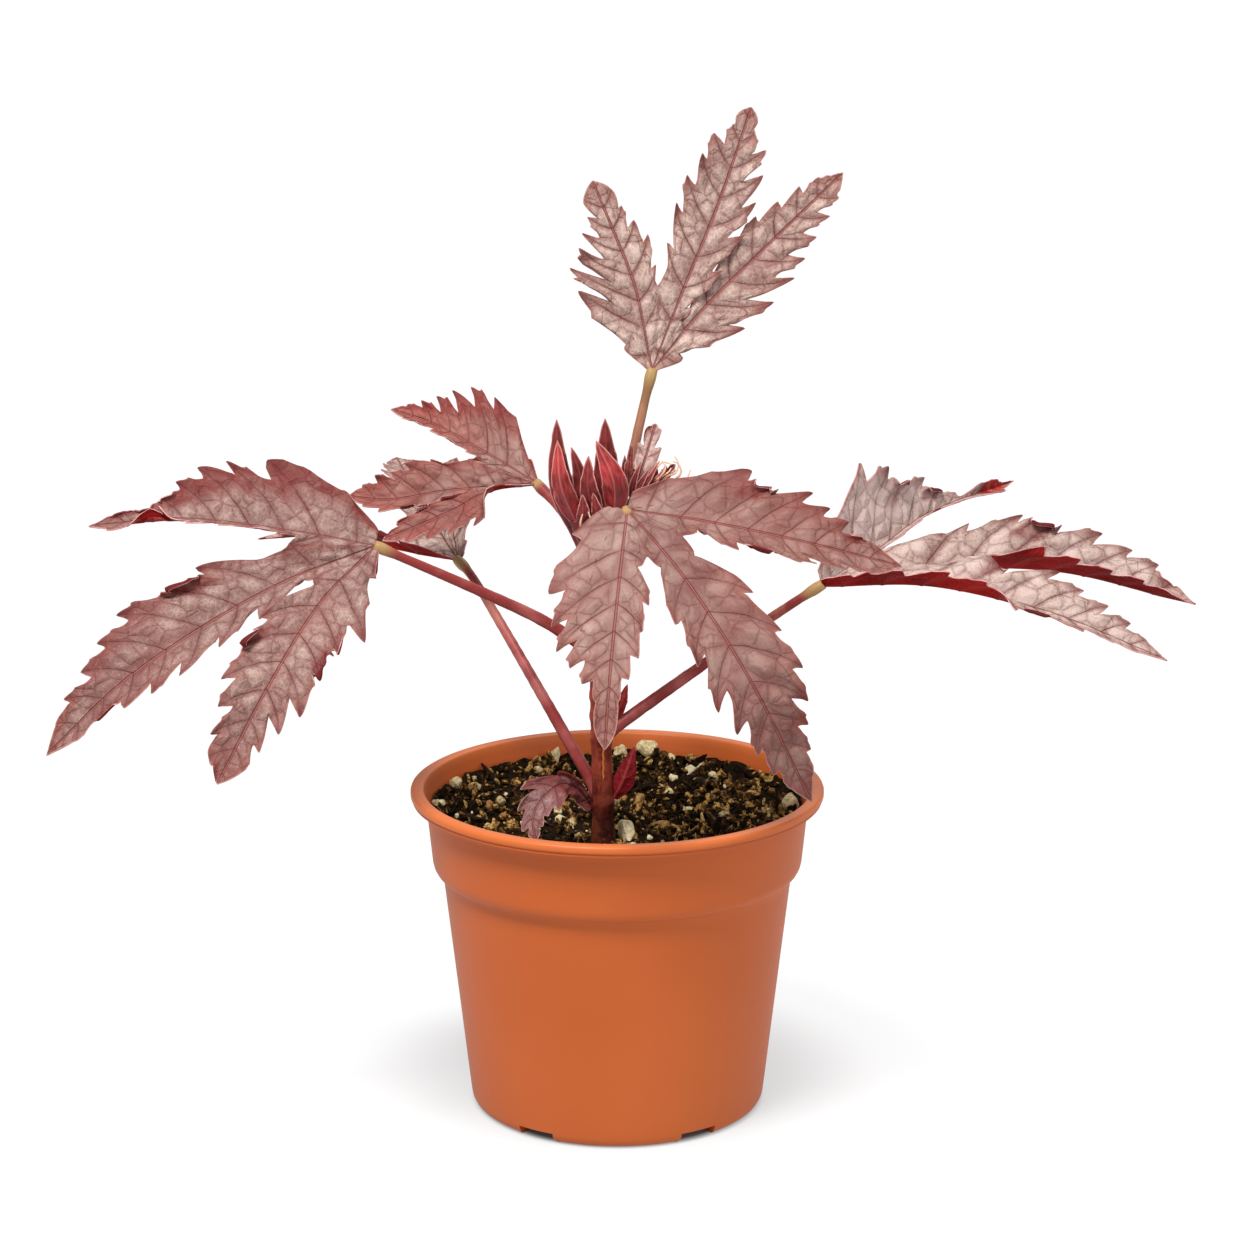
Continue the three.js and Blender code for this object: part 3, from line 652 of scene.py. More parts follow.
# %% Perlite and the larger bark
PERLITE = [
    (9.0, 51.2, 2.8), (1.1, 51.6, 2.0), (16.2, 49.2, 1.7), (25.8, 39.7, 2.1), (22.5, 39.4, 1.5),
    (28.7, 33.6, 1.8), (16.7, 34.5, 1.5), (15.1, 26.0, 1.6), (-48.1, 20.7, 2.3), (-42.6, 27.3, 1.2),
    (-41.7, 21.3, 1.5), (-52.0, -3.0, 1.6), (-34.7, 13.9, 1.7), (-16.6, 2.0, 1.9), (-14.0, 1.7, 1.8),
    (-17.8, 13.0, 1.5), (-0.9, 20.6, 1.6), (2.7, -10.0, 3.0), (50.3, -4.7, 2.3), (43.7, -4.9, 1.0),
    (-19.2, 49.4, 2.1), (-24.0, 41.3, 1.2), (-37.4, -6.6, 0.9), (-33.1, 21.7, 0.9), (31.1, 3.0, 1.6),
    (20.4, 12.7, 1.6),
]
TAN_BARK = [
    (39.9, 18.4, 1.7), (29.5, 23.5, 1.4), (6.5, 19.3, 2.7), (5.7, 39.5, 2.1), (-38.1, 11.0, 2.5),
    (-34.1, 3.7, 2.1), (-25.4, 45.6, 1.8), (-22.5, 22.2, 1.8), (17.4, -14.9, 1.2), (24.7, -3.2, 2.5),
    (12.5, 0.1, 1.7), (11.0, 4.0, 1.5), (33.0, 30.0, 1.6), (-12.0, 36.0, 1.6),
]
PERLITE_SHAPE = (1.1, 1, 0.92)
FINE_GRAINS = 60
FINE_SIZES = (0.45, 0.6)
FINE_SHAPE = (1, 0.9, 0.8)
TAN_SHAPE = (1.3, 0.6, 0.42)


def scatter_known(name, places, shape, **facts):
    places = np.array(places)
    return scatter(name, places[:, :2], places[:, 2], shape, **facts)


white = scatter_known("mix_perlite", PERLITE, PERLITE_SHAPE, dents=0.36, level=4, seed=21, sink=0.2, cuts=5)
spots = spots_on_bed(lots, FINE_GRAINS, margin=2)
sizes = crumb_sizes(lots, FINE_GRAINS, *FINE_SIZES, rare=2)
fine_white = scatter("mix_fine_perlite", spots, sizes, FINE_SHAPE, dents=0.32, level=3, seed=22)
tan = scatter_known("mix_tan_bark", TAN_BARK, TAN_SHAPE, dents=0.34, level=3, seed=23, flat=0.5, sink=0.15)
print("crumb faces:", sum(len(m.polygons) for m in (small, bark, white, fine_white, tan)))

# %% [markdown]
# Each kind of crumb gets one finish. Wet peat is nearly black, torn bark is tan inside, and the
# grains are a dusty cream. A material for each crumb would be thousands of them, so a ramp of
# tones is read at the crumb's own number, and a noise mottles it. A slow second noise makes
# lighter and darker patches of crumbs, as stirring does.

# %% Finishes of the mix
MIX_TONES = [
    (0.0, (0.002, 0.001, 0.0006)), (0.42, (0.012, 0.006, 0.002)), (0.56, (0.050, 0.024, 0.007)),
    (0.68, (0.15, 0.072, 0.018)), (0.80, (0.40, 0.23, 0.07)),
]
BARK_TONES = [
    (0.0, (0.002, 0.001, 0.0006)), (0.46, (0.014, 0.006, 0.002)), (0.60, (0.075, 0.033, 0.008)),
    (0.72, (0.22, 0.105, 0.025)), (0.86, (0.55, 0.36, 0.13)),
]
BED_TONES = [(0.35, (0.002, 0.001, 0.0006)), (0.6, (0.014, 0.007, 0.002)), (0.75, (0.12, 0.055, 0.014))]
TAN_TONES = [(0.0, (0.10, 0.044, 0.012)), (0.5, (0.27, 0.135, 0.042)), (1.0, (0.48, 0.31, 0.13))]
GRAIN_TONES = [(0.1, (0.26, 0.18, 0.07)), (0.4, (0.55, 0.44, 0.23)), (0.8, (0.74, 0.65, 0.43))]
CLUSTER_SHARE = 0.7


def crumb_finish(name, stops, rough, grain_size, mottle_share, clustered=False):
    """The tone of each crumb picks its colour, a noise mottles it, and pits roughen it."""
    paint = Paint(name, Specular_IOR_Level=0.06)
    mottle = paint.noise(1 / (grain_size * MM), 4, 0.65).ramp(0.3, 0.7)
    tone = paint.mark("tone") * (1 - mottle_share) + mottle * mottle_share
    if clustered:
        tone = tone + (paint.noise(60, 2) - 0.5) * CLUSTER_SHARE
    colour = paint.node("ShaderNodeValToRGB", {"stops": stops}, {0: tone})
    pits = paint.bump(mottle, 0.7, 0.0004)
    return paint.finish(Base_Color=colour, Roughness=mottle * 0.2 + rough, Normal=pits)


peat = crumb_finish("peat", MIX_TONES, 0.78, 1.6, 0.45, True)
bark_skin = crumb_finish("bark_chip", BARK_TONES, 0.7, 1.2, 0.45, True)
tan_skin = crumb_finish("tan_bark", TAN_TONES, 0.7, 1.4, 0.5)
chalk = crumb_finish("perlite", GRAIN_TONES, 0.8, 1.0, 0.5)

bed_paint = Paint("peat_bed", Specular_IOR_Level=0.05)
bed_noise = bed_paint.noise(520, 5, 0.7)
bed_colour = bed_paint.node("ShaderNodeValToRGB", {"stops": BED_TONES}, {0: bed_noise})
bed_pits = bed_paint.bump(bed_noise, 0.9, 0.001)
bed_skin = bed_paint.finish(Base_Color=bed_colour, Roughness=bed_noise * 0.2 + 0.75, Normal=bed_pits)
add_piece("potting_mix_bed", bed_mesh, "potting_mix", [bed_skin], "potting_mix")
LOOSE_MIX = {
    "mix_crumbs": (small, peat),
    "mix_bark": (bark, bark_skin),
    "mix_tan_bark": (tan, tan_skin),
    "mix_perlite": (white, chalk),
    "mix_fine_perlite": (fine_white, chalk),
}
for name, (mesh, material) in LOOSE_MIX.items():
    add_piece(name, mesh, "potting_mix", [material])
print("pieces of mix:", 1 + len(LOOSE_MIX))

# %% [markdown]
# Stem, stalks, midribs and blades all follow smooth routes through a few places in space. A
# Bezier curve with a bevel would draw a stalk, but the blades need the same route as numbers, to
# hang their veins on, so the route is worked out here: a curve through the places that never
# swings wide of them, cut into even shares of its length.

# %% Routes
ROUTE_STEPS = 240


def make_route(places):
    knots = np.array(places, float)
    knots = np.vstack([2 * knots[0] - knots[1], knots, 2 * knots[-1] - knots[-2]])
    gaps = np.linalg.norm(np.diff(knots, axis=0), axis=1) ** 0.5
    line = [knots[1][None]]
    for k in range(1, len(knots) - 2):
        a, b, c, d = knots[k - 1:k + 3]
        before, here, after = gaps[k - 1:k + 2]
        leaving = here * ((b - a) / before - (c - a) / (before + here) + (c - b) / here)
        arriving = here * ((c - b) / here - (d - b) / (here + after) + (d - c) / after)
        t = np.linspace(0, 1, ROUTE_STEPS + 1)[1:, None]
        line.append(b * (2 * t**3 - 3 * t**2 + 1) + leaving * (t**3 - 2 * t**2 + t)
                    + c * (3 * t**2 - 2 * t**3) + arriving * (t**3 - t**2))
    line = np.vstack(line)
    run = np.concatenate([[0], np.cumsum(np.linalg.norm(np.diff(line, axis=0), axis=1))])
    heading = np.gradient(line, run, axis=0)
    heading /= np.linalg.norm(heading, axis=1, keepdims=True)
    return {"share": run / run[-1], "place": line, "heading": heading, "length": run[-1]}


def follow(route, share, what="place"):
    share = np.clip(share, 0, 1)
    return np.stack([np.interp(share, route["share"], route[what][:, i]) for i in range(3)], -1)


def dot(a, b):
    return np.sum(a * b, axis=-1, keepdims=True)


bend = make_route([(0, 0, 0), (0, 0, 10), (10, 0, 10)])
print("a route round a 20 mm corner is", round(bend["length"], 1), "mm long")

# %% [markdown]
# A leaf of this hibiscus is a hand of lobes. Each lobe hangs on its own midrib, and the midribs
# meet where the stalk ends. Teeth point forward along the rim, and a side vein runs to each tooth.
# A flat picture of a leaf bent by a modifier could never show the red underside, so each lobe is
# laid out here as a net in space. One way along the net are stations, two to a tooth. The other
# way is the span from the midrib out to the rim, and it runs along the side veins.

# %% Half a lobe
WIDTH_SHARES = np.array([0, 0.14, 0.35, 0.6, 0.82, 1])
TIP_BLUNTNESS = 1.5
TOOTH_CROWDING = 1.15
VEIN_LEAN = 0.95
LEAN_SPAN = 0.25
TIP_TURN_FROM = 0.6
VEIN_BOW = 0.35
KEEL_ROUNDING = 1.6
KEEL_FOLD_AT = (0.35, 0.6)
REACH_ROUNDS = 30
NO_FLARE = (1, 0, 1)
NO_STANDING = (0, 0, 1, 0)


def of_side(pair, side):
    """What a lobe says of its left half (side -1) or its right half (side 1)."""
    return pair[0 if side < 0 else 1]


def chance(seed):
    wave = np.sin(np.asarray(seed) * 12.9898 + 78.233) * 43758.5453
    return wave - np.floor(wave)


def half_width(lobe, side, share):
    widths = np.array([*of_side((lobe["left"], lobe["right"]), side), 0.0])
    shares = np.array(lobe.get("shares", WIDTH_SHARES))
    k = np.clip(np.searchsorted(shares, share, side="left") - 1, 0, 4)
    t = np.minimum((share - shares[k]) / (shares[k + 1] - shares[k]), 1)
    t = np.where(k == 4, np.maximum(t, 0) ** lobe.get("blunt", TIP_BLUNTNESS), t)
    place, size, spread = lobe.get("flare", NO_FLARE)
    flare = size * np.exp(-((share - place) / spread) ** 2) * (share < 1)
    return widths[k] + (widths[k + 1] - widths[k]) * t + flare


def rib_frame(lobe, share):
    """Place on the midrib, and the directions up from the blade and across it."""
    ahead = follow(lobe["rib"], share, "heading")
    face = lobe["face"]
    up = unit(face - ahead * dot(ahead, face))
    turn = math.radians(lobe.get("tip_turn", 0)) * smooth_step(np.clip(share, 0, 1), TIP_TURN_FROM, 1)
    turn = np.asarray(turn)[..., None]
    up = up * np.cos(turn) + np.cross(ahead, up) * np.sin(turn)
    return follow(lobe["rib"], share), up, np.cross(ahead, up)


def lean_of(lobe, share):
    return VEIN_LEAN * smooth_step(share, 0, LEAN_SPAN) / lobe["rib"]["length"]


def rim_reach(lobe, side, station):
    """How far the rim lies from the midrib along the side vein at each station, over the teeth."""
    share = 1 - (1 - station / (2 * lobe["teeth"])) ** TOOTH_CROWDING
    reach = np.zeros_like(share)
    for _ in range(REACH_ROUNDS):
        reach = (reach + half_width(lobe, side, share + reach * lean_of(lobe, share))) / 2
    return share, reach


# %% [markdown]
# The teeth of this leaf are uneven. A tooth rises slowly towards its tip and drops off sharply
# behind it, many have a smaller tooth on their long side, and some curl up or roll over, which
# shows the underside as a dark spot on the rim, darkened further by painted shade. Sawing them out
# of a smooth rim would make them all alike, so each draws its depth, shape and curl from chances
# that its seed repeats each time: the leaf is the same leaf in every run.

# %% Teeth
TOOTH_DEPTH = (0.28, 0.28)
DEPTH_LUCK = (0.55, 0.9)
TIP_AT = 0.72
TIP_LUCK = 0.15
TOOTH_FRONT = (0.8, 2.1)
TOOTH_BACK = 1.1
TOOTH_HOOK = 1.4
SMALL_TOOTH_AT = (0.30, 0.12)
SMALL_TOOTH_WIDTH = 0.07
SMALL_TOOTH_SIZE = 0.34
WITHOUT_SMALL = 0.3
CURL_MIDDLE = 0.42
CURL_TURN = 2.0
STRONG_CURL = (0.86, 1.6)
ROLLED_SHARES = (0.08, 0.08)
ROLL_LUCK = (0.55, 0.45)


def teeth_on(lobe, side, station):
    """At each station: how far the rim is drawn in, how close it is to a tooth's tip, its curl."""
    cycle = (station + 0.5) / 2
    tooth = np.floor(cycle)
    part = cycle - tooth
    luck = [chance(lobe["seed"] + 2 * tooth + 0.5 * side + 0.137 * k) for k in range(6)]
    slim = TOOTH_FRONT[0] + (TOOTH_FRONT[1] - TOOTH_FRONT[0]) * luck[5]
    rise = np.where(part < TIP_AT, (part / TIP_AT) ** slim, ((1 - part) / (1 - TIP_AT)) ** TOOTH_BACK)
    rise = np.sin(math.pi / 2 * rise)
    small_at = SMALL_TOOTH_AT[0] + SMALL_TOOTH_AT[1] * luck[1]
    small = np.exp(-((part - small_at) / SMALL_TOOTH_WIDTH) ** 2) * (luck[2] > WITHOUT_SMALL)
    depth = of_side(lobe.get("depth", TOOTH_DEPTH), side) * (DEPTH_LUCK[0] + DEPTH_LUCK[1] * luck[0])
    drawn_out = np.minimum(rise + SMALL_TOOTH_SIZE * small, 1)
    inward = depth * (1 - drawn_out - TIP_LUCK * (luck[3] - 0.5) * rise**4)
    curl = (luck[4] - CURL_MIDDLE) * CURL_TURN + np.where(luck[4] > STRONG_CURL[0], STRONG_CURL[1], 0)
    is_rolled = luck[1] < of_side(lobe.get("rolled", ROLLED_SHARES), side)
    roll = np.where(is_rolled, ROLL_LUCK[0] + ROLL_LUCK[1] * luck[2], 0) * smooth_step(rise, 0.05, 0.6)
    return inward, rise, curl * (1 - np.minimum(roll * 2, 1)), roll


# %% [markdown]
# A half lobe is now laid out. Across from the midrib the blade first rounds its keel and then runs
# straight at the angle of its fold. Where a tooth rolls over, it leaves that line at a hinge and
# runs on along an arc. Bending a flat half afterwards would stretch its teeth, so the real width
# is kept along the bend.

# %% A half lobe in space
ROLL_FROM = 0.74
ROLL_TURN = 200
SMOOTH_TIP = (0.84, 0.92)
SMOOTH_WHERE_NARROW = (0.3, 2.0)
FULL_HOOK_REACH = 12
GAP_ROUNDING = 0.22
GAP_MIDDLE = 0.6
GAP_SPREAD = 0.55


def roll_over(across, hinge, width, roll):
    """Beyond the hinge the blade runs on along an arc: how far out and how far up it then is."""
    angle = np.maximum(roll, 1e-4)[:, None] * math.radians(ROLL_TURN)
    beyond = np.clip((across - hinge[:, None]) / width, 0, 1)
    rolled_out = hinge[:, None] + width * np.sin(angle * beyond) / angle
    rolled_up = width * (1 - np.cos(angle * beyond)) / angle
    return np.where(beyond > 0, rolled_out, across), rolled_up


def fold_of(lobe, side, at):
    """How steeply the half stands up from the blade's face, in radians, along the midrib."""
    fold = of_side(lobe["fold"], side)
    opened = of_side(lobe.get("opens", lobe["fold"]), side) - fold
    standing_side, middle, spread, degrees = lobe.get("stands", NO_STANDING)
    standing = degrees * np.exp(-((at - middle) / spread) ** 2) * (standing_side == side)
    return np.radians(fold + opened * smooth_step(at, *lobe.get("open_at", KEEL_FOLD_AT)) + standing)


def lay_half(lobe, side, station, span, joined=0):
    """The net of one half lobe: places, and what the finish needs to know at each."""
    share, reach = rim_reach(lobe, side, station)
    inward, rise, curl, roll = teeth_on(lobe, side, station)
    past = station - joined
    gap = np.where(past > 0, np.exp(-((past - GAP_MIDDLE) / GAP_SPREAD) ** 2), 0) if joined else 0
    at_tip = smooth_step(share, *lobe.get("smooth_tip", SMOOTH_TIP))
    fade = smooth_step(reach, *SMOOTH_WHERE_NARROW) * (1 - at_tip)
    inward = inward + GAP_ROUNDING * gap
    across = reach[:, None] * (span - (inward * fade)[:, None] * span**2)
    hinge = reach * (ROLL_FROM - inward * fade * ROLL_FROM**2)
    width = np.maximum(reach * (1 - inward * fade) - hinge, 1e-6)[:, None]
    across, rolled_up = roll_over(across, hinge, width, roll)
    bow = (1 - VEIN_BOW) + VEIN_BOW * span
    hook = (TOOTH_HOOK * fade * rise**3 * np.minimum(reach / FULL_HOOK_REACH, 1))[:, None] * span**5
    at = share[:, None] + across * bow * lean_of(lobe, share)[:, None] + hook / lobe["rib"]["length"]
    place, up, out = rib_frame(lobe, at)
    fold = fold_of(lobe, side, at)
    lift = (np.sqrt(across**2 + KEEL_ROUNDING**2) - KEEL_ROUNDING) * np.sin(fold)
    outward = side * (across * np.cos(fold) - rolled_up * np.sin(fold))
    place = place + out * outward[..., None] + up * (lift + rolled_up * np.cos(fold))[..., None]
    return place, reach, rise, curl, roll


# %% [markdown]
# Neighbouring lobes are one blade near the stalk. Up to a shared place between them their nets
# end on the same straight line, so the two can be welded there, and past it each goes its own way
# round the gap. Where a leaf has only one lobe nothing is shared.

# %% Where two lobes are one blade
STATION_ROWS = 8
SPANS = np.array([0, 0.035, 0.08, 0.14, 0.21, 0.29, 0.37, 0.45, 0.53,
                  0.61, 0.69, 0.76, 0.82, 0.87, 0.91, 0.945, 0.975, 1])
NO_RIM = 8.0
FREE_AFTER = 0.6


def lay_free_half(lobe, side, station, join):
    """A half lobe on its own, with its width and its distance from the rim at each place."""
    joined = join["station"] if join else 0
    place, reach, rise, curl, roll = lay_half(lobe, side, station, SPANS, joined)
    spread = np.repeat(reach[:, None], len(SPANS), 1)
    return dict(place=place, rise=rise, curl=curl, roll=roll, spread=spread, rim=(1 - SPANS) * spread)


def share_edge(half, station, junction, join):
    """Draws the half to the straight line between the junction and the shared place."""
    edge = junction + (join["place"] - junction) * np.clip(station / join["station"], 0, 1)[:, None]
    rib = half["place"][:, :1]
    shared = rib + (edge[:, None] - rib) * SPANS[:, None]
    free = smooth_step(station, join["station"], join["station"] + FREE_AFTER)[:, None]
    place = shared + (half["place"] - shared) * free[..., None]
    width = np.linalg.norm(edge - place[:, 0], axis=1)[:, None]
    spread = width + (half["spread"] - width) * free
    rim = half["rim"] * free + NO_RIM * (1 - free)
    curl, roll = half["curl"] * free[:, 0], half["roll"] * free[:, 0]
    return dict(place=place, rise=half["rise"], curl=curl, roll=roll, spread=spread, rim=rim)


# %% [markdown]
# A fresh blade isn't flat between its veins. Each cell swells a little, small cross veins pucker
# it, the teeth curl, and the rim waves. A bump in the material would show none of that from the
# side, so it is worked out here as a lift, in millimetres, for each place on the net.

# %% Swells, puckers and curls
FULL_SWELL_WIDTH = 12
CELL_SWELL = 1.15
SWELL_RISES = (0.02, 0.3)
SWELL_SINKS = (0.66, 1.0)
SUNK_AT_RIM = 0.75
CROSS_VEINS = 2.6
PUCKER = 0.22
CURL_FROM = 0.7
RIM_WAVE = 0.75
RIM_WAVE_SIZE = 24
RIM_WAVES_FROM = 0.25


def vein_distance(station):
    """0 on a side vein, which lies on each odd station, and 1 midway between two."""
    return np.abs(np.mod(station, 2) - 1)


def lift_of(lobe, half, station, size):
    swell = np.sin(math.pi / 2 * vein_distance(station))[:, None] ** 2 * CELL_SWELL * size
    swell = swell * smooth_step(SPANS, *SWELL_RISES) * (1 - SUNK_AT_RIM * smooth_step(SPANS, *SWELL_SINKS))
    cell = chance(np.floor(station[:, None] / 2) + lobe["seed"])
    puckers = np.cos(2 * math.pi * (CROSS_VEINS * SPANS + cell))
    swell = swell * (1 - PUCKER + PUCKER * puckers)
    curl = (half["curl"] * half["rise"]**2)[:, None] * smooth_step(SPANS, CURL_FROM, 1.0) ** 1.5 * size
    wave = RIM_WAVE * waves(half["place"], RIM_WAVE_SIZE, 31)
    wave = wave * smooth_step(SPANS, RIM_WAVES_FROM, 1.0) * size
    return swell * lobe.get("quilt", 1) + curl + wave


# %% [markdown]
# The finish can't know by itself where a spot lies on its leaf. It could read a painted image, but
# numbers on the mesh's points stay sharp and cost little: how red a place is, how silvery, whether
# it is on a dark tooth, a red rim or base or a rolled tooth, and how far the extra vein is. That
# vein stands for a lobe that never parted: in a big leaf it runs from the stalk out into the free
# half of each outer lobe.

# %% Marks for the finish
BLUSH = 0.2
BLUSH_ALONG = (0.4, 0.9)
RIM_BLUSH = 0.28
RIM_BLUSH_FROM = 0.55
BLUSH_PATCHES = (30, 0.2, 17)
BLOOM_PATCHES = (22, 0.25, 53)
DARK_TOOTH_FROM = 0.76
DULL_TEETH = (0.45, 0.5)
HEM_SPANS = (0.4, 0.8)
BASE_ALONG = (0.32, 0.58)
TIP_ALONG = (0.72, 0.86)
PAINTED_ROLL_SHADE_SPANS = (ROLL_FROM - 0.3, ROLL_FROM - 0.1)
EXTRA_VEIN_CURVE = 0.6


def blush_of(lobe, half, along):
    blush = lobe.get("blush", BLUSH) * (BLUSH_ALONG[0] + BLUSH_ALONG[1] * along)
    blush = blush + RIM_BLUSH * smooth_step(SPANS, RIM_BLUSH_FROM, 1.0)
    return np.clip(blush + uneven(half["place"], BLUSH_PATCHES), 0, 1)


def looks_of(lobe, side, half, station, along, size):
    """The bloom, the dark of the teeth and the deep red, each from 0 to 3."""
    bloom = lobe.get("bloom", 1) + lobe.get("fades", 0) * (0.5 - along)
    bloom = bloom + uneven(half["place"], BLOOM_PATCHES)
    luck = chance(np.floor(station / 2 + 0.25) + lobe["seed"] + side)
    dark = (half["rise"]**2.5 * np.where(luck > DULL_TEETH[0], 1, DULL_TEETH[1]))[:, None]
    dark = dark * smooth_step(SPANS, DARK_TOOTH_FROM, 1) * size * lobe.get("dark_tips", 1)
    # Painted shade: the upper side just inside a rolled tooth, which the roll shades, is marked dark red.
    red = (of_side(lobe.get("hem_red", (0, 0)), side) * smooth_step(SPANS, *HEM_SPANS)
           + lobe.get("base_red", 0) * (1 - smooth_step(along, *BASE_ALONG))
           + half["roll"][:, None] * smooth_step(SPANS, *PAINTED_ROLL_SHADE_SPANS))
    red = lobe.get("tip_red", 0) * smooth_step(along, *TIP_ALONG) + np.clip(red, 0, 1)
    return np.clip(np.stack(np.broadcast_arrays(bloom, dark, red), -1), 0, 3)


def extra_vein_gap(lobe, half, station, joined):
    """Millimetres to the extra vein of an outer half, or NO_RIM where there is none."""
    gap = np.full(half["spread"].shape, NO_RIM)
    if lobe["extra_vein"] and not joined:
        last, out_to = lobe["extra_vein"]
        course = out_to * np.clip(station / last, 0, 1)[:, None] ** EXTRA_VEIN_CURVE
        gap = np.abs(SPANS - course) * half["spread"]
        gap = gap + NO_RIM * smooth_step(station, last - 2, last)[:, None]
    return gap


# %% The net of a whole lobe
def lobe_net(lobe, junction, joins, rows):
    """Both halves as one net: place, net and rim marks, looks, extra vein and lift."""
    station = np.linspace(0, 2 * lobe["teeth"], 2 * lobe["teeth"] * rows + 1)
    step = lobe["rib"]["length"] / (2 * lobe["teeth"])
    along = (station / station[-1])[:, None]
    halves = []
    for side, join in zip((-1, 1), joins):
        half = lay_free_half(lobe, side, station, join)
        if join:
            half = share_edge(half, station, junction, join)
        size = np.minimum(half["spread"] / FULL_SWELL_WIDTH, 1)
        net = np.stack(np.broadcast_arrays(station[:, None], SPANS[None], half["spread"]), -1)
        rim = np.stack(np.broadcast_arrays(half["rim"], step, blush_of(lobe, half, along)), -1)
        looks = looks_of(lobe, side, half, station, along, size)
        extra = extra_vein_gap(lobe, half, station, join)
        halves.append((half["place"], net, rim, looks, extra, lift_of(lobe, half, station, size)))
    return [np.concatenate([left[:, ::-1], right[:, 1:]], 1) for left, right in zip(*halves)]


# %% [markdown]
# The nets of the lobes meet where the stalk ends and on the shared lines. Left as they are they
# would be loose strips that open along their seams, so points that lie in the same place are made
# one, and what they carry is averaged. The normals of the result tell where up is.

# %% Triangles, welding and normals
def grid_faces(rows, columns):
    corner = (np.arange(rows - 1)[:, None] * columns + np.arange(columns - 1)).ravel()
    squares = np.stack([corner, corner + columns, corner + columns + 1, corner + 1], 1)
    return np.concatenate([squares[:, [0, 2, 1]], squares[:, [0, 3, 2]]])


def weld(points, faces, *values):
    """Makes one point of those in the same place, averages what they carry, drops empty faces."""
    _, first, owner = np.unique(np.round(points, 3), axis=0, return_index=True, return_inverse=True)
    owner = owner.ravel()
    counts = np.bincount(owner)[:, None]
    merged = []
    for value in values:
        flat = value.reshape(len(points), -1)
        merged.append(np.stack([np.bincount(owner, column) for column in flat.T], 1) / counts)
    faces = owner[faces]
    kept = (faces[:, 0] != faces[:, 1]) & (faces[:, 1] != faces[:, 2]) & (faces[:, 2] != faces[:, 0])
    return points[first], faces[kept], merged


def point_normals(points, faces):
    a, b, c = (points[faces[:, i]] for i in range(3))
    normal = np.cross(b - a, c - a)
    total = np.zeros_like(points)
    for i in range(3):
        np.add.at(total, faces[:, i], normal)
    return unit(total)


# %% [markdown]
# The welded net is the middle of the blade. A Solidify modifier would give it one even
# thickness, but a real blade has a hollow over each vein above and a cord under it below. So it
# gets an upper skin that sinks a little along the veins, an underskin on which the midribs stand
# proud like cords, and a narrow rim between the two.

# %% Skins of a blade
BLADE_THICKNESS = 0.34
RIB_CORD = 0.62
VEIN_CORD = 0.22
RIB_HOLLOW = 0.10
VEIN_HOLLOW = 0.13
RIB_SPREAD = 0.7
VEIN_SPREAD = 0.5
VEIN_TAPER = 0.75
FULL_RIB_WIDTH = 5
FULL_VEIN_WIDTH = 10


def thicken(points, faces, net, step, thickness):
    """Points of the two skins and faces of upper skin, underskin and rim, with their material."""
    normals = point_normals(points, faces)
    station, span, width = net.T
    on_rib = np.exp(-(span * width / RIB_SPREAD) ** 2) * np.clip(width / FULL_RIB_WIDTH, 0.25, 1)
    on_vein = np.exp(-(vein_distance(station) * step / VEIN_SPREAD) ** 2)
    on_vein = on_vein * (1 - VEIN_TAPER * span) * np.clip(width / FULL_VEIN_WIDTH, 0, 1)
    scale = thickness / BLADE_THICKNESS
    upper = thickness / 2 - scale * (RIB_HOLLOW * on_rib + VEIN_HOLLOW * on_vein)
    under = thickness / 2 + scale * (RIB_CORD * on_rib + VEIN_CORD * on_vein)
    skins = np.vstack([points + normals * upper[:, None], points - normals * under[:, None]])
    count = len(points)
    edges = np.vstack([faces[:, [0, 1]], faces[:, [1, 2]], faces[:, [2, 0]]])
    keys = np.sort(edges, 1)
    _, owner, uses = np.unique(keys[:, 0] * count + keys[:, 1], return_inverse=True, return_counts=True)
    rim = edges[uses[owner.ravel()] == 1]
    wall = np.vstack([np.column_stack([rim[:, 1], rim[:, 0], rim[:, 0] + count]),
                      np.column_stack([rim[:, 1], rim[:, 0] + count, rim[:, 1] + count])])
    layers = np.repeat([0, 1, 2], [len(faces), len(faces), len(wall)])
    return skins, np.vstack([faces, faces[:, ::-1] + count, wall]), layers


# %% A blade from its lobes
def ready_lobes(leaf, junction):
    """The leaf's lobes with their midribs as routes and what they take over from the leaf."""
    lobes = []
    for index, shape in enumerate(leaf["lobes"]):
        lobes.append({
            **shape,
            "rib": make_route([junction, *shape["midrib"]]),
            "face": unit(np.array(shape.get("face", leaf["face"]), float)),
            "seed": leaf["seed"] + 10 * index,
            "teeth": round(shape["teeth"] * leaf.get("finer", 1)),
            "extra_vein": leaf.get("extra_vein"),
        })
    return lobes


def shared_places(leaf, lobes):
    """Where each two neighbours part: midway between their rims at the station given."""
    joins = []
    for station, left, right in zip(leaf["join"], lobes, lobes[1:]):
        station = station * leaf.get("finer", 1)
        ends = [lay_half(lobe, side, np.array([station]), np.array([1.0]))[0][0, 0]
                for lobe, side in ((left, 1), (right, -1))]
        joins.append({"station": station, "place": (ends[0] + ends[1]) / 2})
    return [None, *joins, None]


